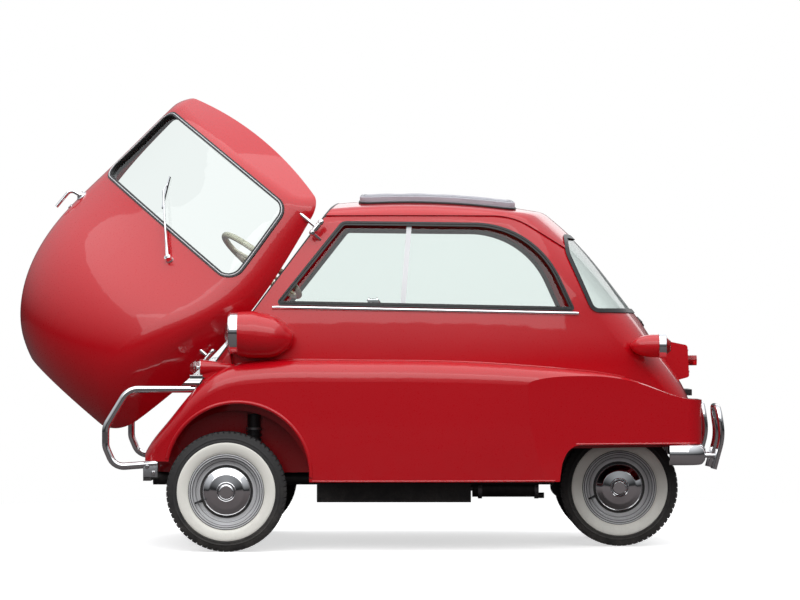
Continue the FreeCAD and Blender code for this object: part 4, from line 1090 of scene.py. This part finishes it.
def buildMirrorGlass():
    mesh = nodes["mirror"].data
    largest = sorted(mesh.polygons, key=lambda face: -face.area)[:4]
    front = max(largest, key=lambda face: face.normal.dot(Vector(mirrorSpec["faces"])))
    edges = [mesh.vertices[b].co - mesh.vertices[a].co for a, b in front.edge_keys]
    edge = max(edges, key=lambda way: way.length)
    lifted = front.center + front.normal * mirrorSpec["lift"]
    glass = Builder()
    glass.box(mirrorSpec["half"], mirrorSpec["bevel"], 0,
              frameAt(lifted, front.normal, edge.normalized().cross(front.normal)))
    glass.finish("mirror_glass", "chrome", "door")


def buildDash():
    back = doorSpin @ Vector((1, 0, 0))
    face = doorSpin @ Vector((1, 0, dashSpec["lean"])).normalized()
    centre = insideDoor(dashSpec["y"], dashSpec["z"]) + back * dashSpec["behind"]
    place = frameAt(centre, face, doorSpin @ Vector((0, 0, 1)))
    shell = Builder()
    r = dashSpec["radius"]
    shell.lathe([(-0.044, 0.00002), (-0.044, r * 0.72), (-0.034, r * 0.9), (-0.012, r), (0.0, r * 1.04),
                 (0.008, r * 1.04), (0.0095, r), (0.009, r * 0.94), (0.003, r * 0.92)], 48, 0, place)
    shell.lathe([(0.0035, r * 0.925), (0.0025, r * 0.5), (0.0025, 0.00002)], 48, 1, place)
    shell.bead(0.0092, r, 0.0022, 2, place, 56)
    tick = Builder()
    tick.box((0.004, 0.0006, 0.0003), 0, 0, shiftBy(r * 0.8, 0, 0.004))
    ticks = repeated(tick, ringTree, Count=dashSpec["ticks"], Turn=2 * pi / 28)
    shell.mesh(ticks, 3, place @ Matrix.Rotation(radians(-135), 4, "Z"))
    shell.box((r * 0.36, 0.0009, 0.0004), 0, 3,
              place @ Matrix.Rotation(radians(-120), 4, "Z") @ shiftBy(r * 0.3, 0, 0.005))
    shell.lathe([(0.0035, 0.005), (0.007, 0.0046), (0.0078, 0.003), (0.008, 0.00002)], 20, 0, place)
    for y, length in dashSpec["knobs"]:
        shell.lathe([(0.0, 0.0058), (0.008, 0.0058), (0.009, 0.0035), (length, 0.0035),
                     (length + 0.004, 0.009), (length + 0.012, 0.0092), (length + 0.0145, 0.007),
                     (length + 0.015, 0.00002)], 20, 0,
                    frameAt(insideDoor(y, 0.912) + back * 0.078, back))
    shell.finish("dash_gauge", "black_plastic dial_black chrome cream_plastic", "door")


buildWiper()
buildHandlePlate()
buildMirrorGlass()
buildDash()
print("stage: door trim")


# Springs on their upright tubes, brake back plates behind the wheels

springSpec = {"turns": 8, "wire": 0.0032, "radius": 0.028, "low": 0.292, "high": 0.455,
              "x": 0.095, "y": 0.437}
drumSpec = {"knuckle_left": -0.0575, "knuckle_right": -0.0575, "car_body": -0.06, "bolts": 6, "circle": 0.06}
carrierOf = {"front_wheel_left": "knuckle_left", "front_wheel_right": "knuckle_right",
             "rear_wheels": "car_body"}

coil = Builder()
for side in (-1, 1):
    path = []
    for turn in evenly(0, springSpec["turns"], springSpec["turns"] * 20):
        a, b = polar(springSpec["radius"], 2 * pi * turn)
        height = springSpec["low"] + (springSpec["high"] - springSpec["low"]) * turn / springSpec["turns"]
        path.append((springSpec["x"] + a, side * springSpec["y"] + b, height))
    coil.tube(path, springSpec["wire"], 8)
    for height in (springSpec["low"] - 0.006, springSpec["high"] + 0.004):
        coil.lathe([(-0.004, 0.0252), (-0.004, 0.0312), (0.004, 0.0312), (0.004, 0.0252)], 32, 1,
                   shiftBy(springSpec["x"], side * springSpec["y"], height), True)
coil.finish("front_springs", "black_paint engine_metal")

for wheelBody, hubs in hubsOf.items():
    drum = Builder()
    near = drumSpec[carrierOf[wheelBody]]
    for hubPlace in hubs:
        drum.lathe([(near, 0.03), (near, 0.088), (near + 0.003, 0.092), (near + 0.0065, 0.092),
                    (near + 0.0065, 0.03)], 56, 0, hubPlace, True)
        for k in range(drumSpec["bolts"]):
            spot = shiftBy(*polar(drumSpec["circle"], 2 * pi * k / drumSpec["bolts"], near))
            drum.bolt(0.0055, 1, hubPlace @ spot @ Matrix.Rotation(pi, 4, "X"))
    drum.finish(wheelBody + "_back_plate", "black_paint engine_metal", carrierOf[wheelBody])
print("stage: springs and brake plates")


# Cabin fittings: window latches, pedals, levers, mat and the door's trim card

latchSpec = {"x": 0.551, "z": 0.944, "reach": 0.024, "plate": (0.012, 0.02, 0.0012),
             "wing": ((0.0, 0.0036), (0.008, 0.004), (0.012, 0.0075), (0.017, 0.0085), (0.022, 0.007),
                      (0.024, 0.00002))}
pedalRows = ((-0.165, -0.25, 0.026), (-0.165, -0.33, 0.026), (-0.15, -0.175, 0.02))
leverRows = (((0.36, -0.5, 0.47), (0.33, -0.495, 0.64), 0.006, 0.019),
             ((0.47, -0.5, 0.44), (0.56, -0.49, 0.56), 0.0075, 0.013))
matSpec = {"low": (-0.19, -0.27), "high": (0.6, 0.27), "thick": 0.005, "ribs": 44, "edge": 0.02}
cardSpec = {"across": 0.4, "low": 0.5, "high": 0.893, "columns": 40, "rows": 24, "lifts": (0.004, 0.007),
            "narrowing": 0.34, "seams": 5, "seamDepth": 0.0022, "seamWidth": 0.005}
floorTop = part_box("floor_pan")[1][2]
sideGlassTree = treeOf("side_windows")


def buildLatches():
    latch = Builder()
    x, z, reach = latchSpec["x"], latchSpec["z"], latchSpec["reach"]
    for side in (-1, 1):
        glass = surfaceHit(sideGlassTree, (x, 0, z), (0, side, 0))[0]
        place = frameAt((x, glass.y - side * 0.0006, z), (0, -side, 0), (0, 0, 1))
        latch.lathe([(0.0, 0.0115), (0.0025, 0.0115), (0.004, 0.008), (reach - 0.006, 0.006), (reach, 0.006),
                     (reach + 0.001, 0.00002)], 24, 0, place)
        for way in (-1, 1):
            latch.lathe(latchSpec["wing"], 16, 0, place @ frameAt((0, 0, reach - 0.004), (0.35, way, 0)))
        latch.box(latchSpec["plate"], 0.0008, 0, place @ shiftBy(-0.004, 0, 0.0012))
    latch.finish("window_latches", "chrome")


def buildPedals():
    pedals = Builder()
    for x, y, half in pedalRows:
        foot, top = Vector((x + 0.05, y, floorTop - 0.001)), Vector((x - 0.008, y, floorTop + 0.09))
        knee = foot.lerp(top, 0.5) + Vector((-0.012, 0, 0))
        pedals.tube([foot, foot + Vector((0, 0, 0.012)), knee, top], 0.006)
        pad = frameAt(top + Vector((0.004, 0, 0.012)), (0.86, 0, 0.5), (0, 1, 0))
        pedals.box((half, half * 0.82, 0.004), 0.0025, 1, pad)
        for k in range(5):
            rib = pad @ shiftBy(0, half * (-0.56 + 0.28 * k), 0.0046)
            pedals.box((half * 0.82, 0.0014, 0.001), 0.0004, 1, rib)
    pedals.finish("pedals", "black_paint black_rubber", slotName="black_rubber")


def buildLevers():
    levers = Builder()
    for low, high, radius, knob in leverRows:
        low, high = Vector(low), Vector(high)
        shares = evenly(0, 1, 8)
        levers.tube([low.lerp(high, k) + Vector((0, 0.006 * sin(pi * k), 0)) for k in shares], radius, 12)
        ball = [polar(knob, pi * (1 - k / 10)) for k in range(1, 10)]
        levers.lathe([(-knob, 0.00002)] + ball + [(knob, 0.00002)], 24, 1, frameAt(high, high - low))
        levers.lathe([(-0.012, 0.03), (0.004, 0.03), (0.01, 0.022), (0.016, 0.024), (0.022, 0.016),
                      (0.028, 0.018), (0.036, radius)], 24, 2, frameAt(low, high - low))
    levers.finish("cabin_levers", "chrome cream_plastic black_rubber")


def buildMat():
    low, high = matSpec["low"], matSpec["high"]
    half = Vector(((high[0] - low[0]) / 2, (high[1] - low[1]) / 2, matSpec["thick"] / 2))
    x, y = (low[0] + high[0]) / 2, (low[1] + high[1]) / 2
    mat, rib = Builder(), Builder()
    mat.box(half, 0.002, 0, shiftBy(x, y, floorTop + half.z - 0.0005))
    rib.box((half.x - 0.03, 0.0022, 0.0012), 0.0006, 0,
            shiftBy(x, low[1] + matSpec["edge"], floorTop + matSpec["thick"] - 0.0002))
    step = (high[1] - low[1] - 2 * matSpec["edge"]) / (matSpec["ribs"] - 1)
    mat.mesh(repeated(rib, rowTree, Count=matSpec["ribs"], Step=(0, step, 0)))
    mat.finish("floor_mat", "black_rubber")


def cardPoint(u, v, lift, outer):
    width = 1 - cardSpec["narrowing"] * (1 - v) ** 1.6
    height = cardSpec["high"] - cardSpec["low"]
    seam = min(abs(v - k / (cardSpec["seams"] + 1)) for k in range(1, cardSpec["seams"] + 1)) * height
    sunk = cardSpec["seamDepth"] * exp(-(seam / cardSpec["seamWidth"]) ** 2) if outer else 0
    place = insideDoor(cardSpec["across"] * (2 * u - 1) * width, cardSpec["low"] + height * v)
    return place + doorSpin @ Vector((lift - sunk, 0, 0))


def buildTrimCard():
    columns, rows = cardSpec["columns"], cardSpec["rows"]
    wide = columns + 1
    per = wide * (rows + 1)
    grid = [cardPoint(i / columns, j / rows, lift, outer) for outer, lift in enumerate(cardSpec["lifts"])
            for j in range(rows + 1) for i in range(wide)]
    quads = [(a, a + 1, a + wide + 1, a + wide)
             for j in range(rows) for a in range(j * wide, j * wide + columns)]
    faces = [quad[::-1] for quad in quads] + [tuple(per + i for i in quad) for quad in quads]
    border = [*range(columns), *range(columns, per - 1, wide), *range(per - 1, per - 1 - columns, -1),
              *range(per - wide, 0, -wide)]
    faces += [(a, b, b + per, a + per) for a, b in zip(border, border[1:] + border[:1])]
    card = Builder()
    card.add(grid, faces)
    card.tube([grid[per + a] for a in border], 0.0032, 8, 1, True)
    card.finish("door_trim_card", "trim_vinyl black_rubber", "door", slotName="grey_fabric")


buildLatches()
buildPedals()
buildLevers()
buildMat()
buildTrimCard()
print("stage: cabin fittings")


# Below and behind: pillar bases, exhaust and engine fins

pillarForm = ([(-0.04, 0.56, 0.688), (0.02, 0.572, 0.69), (0.008, 0.56, 0.768), (-0.04, 0.515, 0.688),
               (0.025, 0.515, 0.69), (0.015, 0.515, 0.768)],
              [(0, 1, 2), (3, 5, 4), (0, 3, 4, 1), (1, 4, 5, 2), (2, 5, 3, 0)])
exhaustSpec = {"clamps": (0.965, 1.185), "pipe": 0.0135,
               "bends": ((0.012, 0.004), (-0.04, 0.004), (-0.1, 0.01), (-0.18, 0.02)), "steps": (4, 4, 6)}
engineSpec = {"fins": 22, "thick": 0.0009, "edge": 0.016,
              "plug": ((0.0, 0.028), (0.003, 0.028), (0.0045, 0.026), (0.0045, 0.02), (0.012, 0.019),
                       (0.013, 0.00002))}


def buildPillarBases():
    base = Builder()
    for side in (-1, 1):
        work = bmesh.new()
        made = [work.verts.new((x, side * y, z)) for x, y, z in pillarForm[0]]
        for face in pillarForm[1]:
            work.faces.new([made[i] for i in face])
        base.add(*rounded(work, 0.006, 3))
    base.finish("pillar_bases", "red_paint")


def buildExhaust():
    low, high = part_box("silencer")
    radius = (high[1] - low[1]) / 2
    y, z = (low[1] + high[1]) / 2, low[2] + radius
    exhaust = Builder()
    for x in exhaustSpec["clamps"]:
        exhaust.lathe([(-0.008, radius + 0.0002), (-0.008, radius + 0.0016), (0.008, radius + 0.0016),
                       (0.008, radius + 0.0002)], 40, 0, frameAt((x, y, z), (1, 0, 0)), True)
        exhaust.bolt(0.005, 0, frameAt((x, y - radius - 0.001, z), (0, -1, 0)))
    bends = [Vector((low[0] + along, y, z + up)) for along, up in exhaustSpec["bends"]]
    legs = zip(bends, bends[1:], exhaustSpec["steps"])
    path = [a.lerp(b, k / steps) for a, b, steps in legs for k in range(steps)]
    exhaust.tube(path + bends[-1:], exhaustSpec["pipe"], 16)
    exhaust.finish("exhaust_fittings", "engine_metal")


def buildEngineFins():
    low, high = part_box("engine_block")
    x, edge = (low[0] + high[0]) / 2, engineSpec["edge"]
    fins, fin = Builder(), Builder()
    fin.box(((high[0] - low[0]) / 2 - 0.02, engineSpec["thick"], 0.005), 0, 0,
            shiftBy(x, low[1] + edge, low[2] - 0.003))
    step = (high[1] - low[1] - 2 * edge) / (engineSpec["fins"] - 1)
    fins.mesh(repeated(fin, rowTree, Count=engineSpec["fins"], Step=(0, step, 0)))
    fins.lathe(engineSpec["plug"], 28, 0, frameAt((x, (low[1] + high[1]) / 2, low[2] - 0.0005), (0, 0, -1)))
    fins.finish("engine_fins", "engine_metal")


buildPillarBases()
buildExhaust()
buildEngineFins()
print("stage: underside fittings")


# Forms that stand in for plain CAD ones: corner bars, belt trims, tail pods, fuel cap

barSpec = {"side": 0.557, "back": 1.794, "start": 1.673, "corner": 0.075, "half": 0.0392, "bulge": 0.0235,
           "middle": 0.3618, "along": (0, 0.01, 0.03, 0.045), "across": (0.4, 0.3, 0.2, 0.1505)}
trimSpec = {"from": 0.1695, "to": 1.3325, "steps": 70, "depth": 0.0055, "low": 0.886, "step": 0.0005,
            "looks": 90}
podSpec = {"place": (1.64, 0.455, 0.774), "rows": ((0.0, 0.042), (-0.0005, 0.0438), (-0.02, 0.0438),
                                                       (-0.045, 0.0418), (-0.068, 0.0365), (-0.086, 0.0285),
                                                       (-0.099, 0.018), (-0.106, 0.008), (-0.108, 0.00002))}
capSpec = {"place": (1.6085, 0.15, 0.873), "axis": (0.72, 0, 0.69), "neck": 0.023, "rim": 0.0312, "ribs": 40}


def sweep(builder, path, outs, section):
    base = [Vector((p.x + out.x * a, p.y + out.y * a, p.z + b))
            for p, out in zip(path, outs) for a, b in section]
    builder.add(base, loopFaces(len(path), len(section), False, True))


def domeSection(depth, half, back, steps=12):
    dome = [(depth * cos(turn), half * sin(turn)) for turn in evenly(-pi / 2, pi / 2, steps)]
    return dome + [(back, half * 0.96), (back, -half * 0.96)]


def buildRearBars():
    bars = Builder()
    corner, middle = barSpec["corner"], barSpec["middle"]
    for side in (-1, 1):
        path = [Vector((barSpec["start"] + k, side * barSpec["side"], middle)) for k in barSpec["along"]]
        outs = [Vector((0, side, 0))] * len(path)
        for share in evenly(0, 1, 12):
            angle = pi / 2 * (1 - share)
            out = Vector((cos(angle), side * sin(angle), 0))
            outs.append(out)
            bend = Vector((barSpec["back"] - corner, side * (barSpec["side"] - corner), middle))
            path.append(bend + out * corner)
        path += [Vector((barSpec["back"], side * y, middle)) for y in barSpec["across"]]
        outs += [Vector((1, 0, 0))] * len(barSpec["across"])
        sweep(bars, path, outs, domeSection(barSpec["bulge"], barSpec["half"], -0.004))
    obj = bars.finish("rear_corner_bars", "chrome")
    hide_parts("rear_bars")


def buildBeltTrims():
    tree = treeOf("belt_trims")
    strips = Builder()
    for side in (-1, 1):
        path, halves = [], []
        for x in evenly(trimSpec["from"], trimSpec["to"], trimSpec["steps"]):
            heights = [trimSpec["low"] + trimSpec["step"] * n for n in range(trimSpec["looks"])]
            hits = [sideHit(tree, x, height, side) for height in heights]
            hits = [hit for hit in hits if hit]
            if len(hits) > 4:
                path.append(sum(hits, Vector()) / len(hits) - Vector((0, side * trimSpec["depth"], 0)))
                halves.append((hits[-1].z - hits[0].z) / 2)
        half = sum(halves) / len(halves)
        section = domeSection(trimSpec["depth"], half, -0.0015, 10)
        sweep(strips, path, [Vector((0, side, 0))] * len(path), section)
    obj = strips.finish("belt_trim_beads", "chrome")
    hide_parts("belt_trims")


def buildTailPods():
    work = bmesh.new()
    work.from_mesh(nodes["small_lamp_pods"].data)
    plain = [v for v in work.verts if 1.5 < v.co.x < podSpec["place"][0] + 0.001 and abs(v.co.y) > 0.4]
    bmesh.ops.delete(work, geom=plain, context="VERTS")
    pods = Builder()
    pods.add(*formOf(work))
    for place in pairAt(podSpec["place"], (1, 0, 0)):
        pods.lathe(podSpec["rows"], 56, 0, place)
    obj = pods.finish("small_lamp_pod_forms", "red_paint")
    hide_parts("small_lamp_pods")


def buildFuelCap():
    axis = Vector(capSpec["axis"]).normalized()
    place = frameAt(surfaceHit(bodyTree, Vector(capSpec["place"]) + axis * 0.3, -axis)[0], axis)
    cap, rib = Builder(), Builder()
    neck, rim, ribs = capSpec["neck"], capSpec["rim"], capSpec["ribs"]
    cap.lathe([(-0.012, neck), (0.004, neck), (0.004, rim * 0.92), (0.006, rim * 0.97), (0.018, rim * 0.97),
               (0.0205, rim * 0.9), (0.0215, rim * 0.72), (0.02, rim * 0.6), (0.02, rim * 0.25),
               (0.0205, 0.00002)], 56, 0, place)
    rib.box((0.001, 0.0011, 0.0055), 0.0004, 0, shiftBy(rim * 0.97, 0, 0.012))
    cap.mesh(repeated(rib, ringTree, Count=ribs, Turn=2 * pi / ribs), 0, place)
    cap.box((rim * 0.5, 0.0045, 0.0035), 0.0015, 0, place @ shiftBy(0, 0, 0.0215))
    obj = cap.finish("fuel_cap_ribbed", "black_plastic")
    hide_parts("fuel_cap")


buildRearBars()
buildBeltTrims()
buildTailPods()
buildFuelCap()
print("stage: shaped stand-ins")


# Upright plates behind the side bolts of the front bumper's brackets

plateSpec = {"place": (-0.288, 0.6012, 0.308), "half": (0.0265, 0.028, 0.0016), "bevel": 0.0008}
plates = Builder()
for place in pairAt(plateSpec["place"], (0, 0, 1)):
    upright = Matrix.Translation(place.translation) @ Matrix.Rotation(pi / 2, 4, "X")
    plates.box(plateSpec["half"], plateSpec["bevel"], 0, upright)
plates.finish("bracket_plates", "engine_metal")
print("stage: bracket plates")


# Stage, light and camera

photoCamera = {"place": (0.653, -12.9, 0.835), "tilt": 90.527, "lens": 146.7, "sensor": 36.0}
studio = {"floorSize": 60.0, "floor": (0.8, 0.79, 0.78), "floorSeen": (0.09, 0.08, 0.08),
          "skyLow": 0.03, "skyHigh": 1.0, "skyFrom": 0.03, "skyTo": 0.7,
          "lift": 0.62, "fadeStart": 1.9, "fadeEnd": 3.4, "middle": (0.66, 0, 0)}


def buildFloor():
    half = studio["floorSize"] / 2
    corners = [(half * a, half * b, 0) for a, b in ((-1, -1), (1, -1), (1, 1), (-1, 1))]
    mesh = newMesh("floor", corners, [(0, 1, 2, 3)])
    obj = addObject("studioFloor", mesh)
    material, tree = newMaterial("studioFloor")
    parts = addNodes(tree, {
        "output": "OutputMaterial", "pale": ("BsdfDiffuse", {"Color": (*studio["floor"], 1)}),
        "dark": ("BsdfDiffuse", {"Color": (*studio["floorSeen"], 1)}), "path": "LightPath",
        "lift": ("Emission", {"Color": (1, 1, 1, 1), "Strength": studio["lift"]}),
        "white": ("Emission", {"Color": (1, 1, 1, 1), "Strength": 1.0}), "lifted": "AddShader",
        "coords": "TexCoord", "away": ("VectorMath", {"operation": "DISTANCE", 1: studio["middle"]}),
        "fade": ("MapRange", {"interpolation_type": "SMOOTHSTEP", "From Min": studio["fadeStart"],
                              "From Max": studio["fadeEnd"]}),
        "seen": "MixShader", "joined": "MixShader"})
    wire(tree, parts, "coords.Object > away.0, away.Value > fade.Value, pale.0 > lifted.0, "
                      "lift.0 > lifted.1, fade.Result > seen.0, lifted.0 > seen.1, white.0 > seen.2, "
                      "path.Is Camera Ray > joined.0, dark.0 > joined.1, seen.0 > joined.2, "
                      "joined.0 > output.Surface")
    mesh.materials.append(material)


def buildWorld():
    world = bpy.data.worlds.new("studio")
    bpy.context.scene.world = world
    world.use_nodes = True
    tree = world.node_tree
    tree.nodes.clear()
    parts = addNodes(tree, {
        "output": "OutputWorld", "light": ("Background", {"Color": (0.93, 0.96, 1.0, 1)}),
        "coords": "TexCoord", "split": "SeparateXYZ",
        "height": ("MapRange", {"From Min": studio["skyFrom"], "From Max": studio["skyTo"],
                                "To Min": studio["skyLow"], "To Max": studio["skyHigh"]}),
        "white": ("Background", {"Color": (1, 1, 1, 1), "Strength": 1.0}), "path": "LightPath",
        "seen": ("Math", {"operation": "MAXIMUM"}), "mix": "MixShader"})
    wire(tree, parts, "coords.Generated > split.0, split.Z > height.Value, height.Result > light.Strength, "
                      "path.Is Camera Ray > seen.0, path.Is Transmission Ray > seen.1, seen.0 > mix.0, "
                      "light.0 > mix.1, white.0 > mix.2, mix.0 > output.Surface")


def addLight(name, place, target, size, power, glossy=True):
    data = bpy.data.lights.new(name, "AREA")
    data.shape = "RECTANGLE"
    data.size, data.size_y = size
    data.energy = power
    obj = addObject(name, data)
    obj.location = place
    obj.visible_glossy = glossy
    obj.rotation_euler = (Vector(target) - Vector(place)).to_track_quat("-Z", "Y").to_euler()


buildFloor()
buildWorld()
addLight("topSoft", (0.5, -1.5, 6.5), (0.6, 0, 0.6), (11.0, 8.0), 300)
addLight("sideSoft", (0.5, -7.5, 5.6), (0.5, 0, 0.7), (14.0, 4.5), 330)
addLight("fillLow", (0.9, -8.0, 1.6), (0.8, 0, 0.4), (7.0, 1.6), 55, glossy=False)
addLight("backSoft", (2.5, 6.5, 3.5), (0.6, 0, 0.8), (6.0, 3.0), 60)
lens = bpy.data.cameras.new("photoCamera")
lens.lens = photoCamera["lens"]
lens.sensor_width = photoCamera["sensor"]
lens.clip_end = 100
camera = addObject("photoCamera", lens)
camera.location = photoCamera["place"]
camera.rotation_euler = (radians(photoCamera["tilt"]), 0, 0)
bpy.context.scene.camera = camera
bpy.context.scene.view_settings.view_transform = "Standard"
print("stage: studio built")
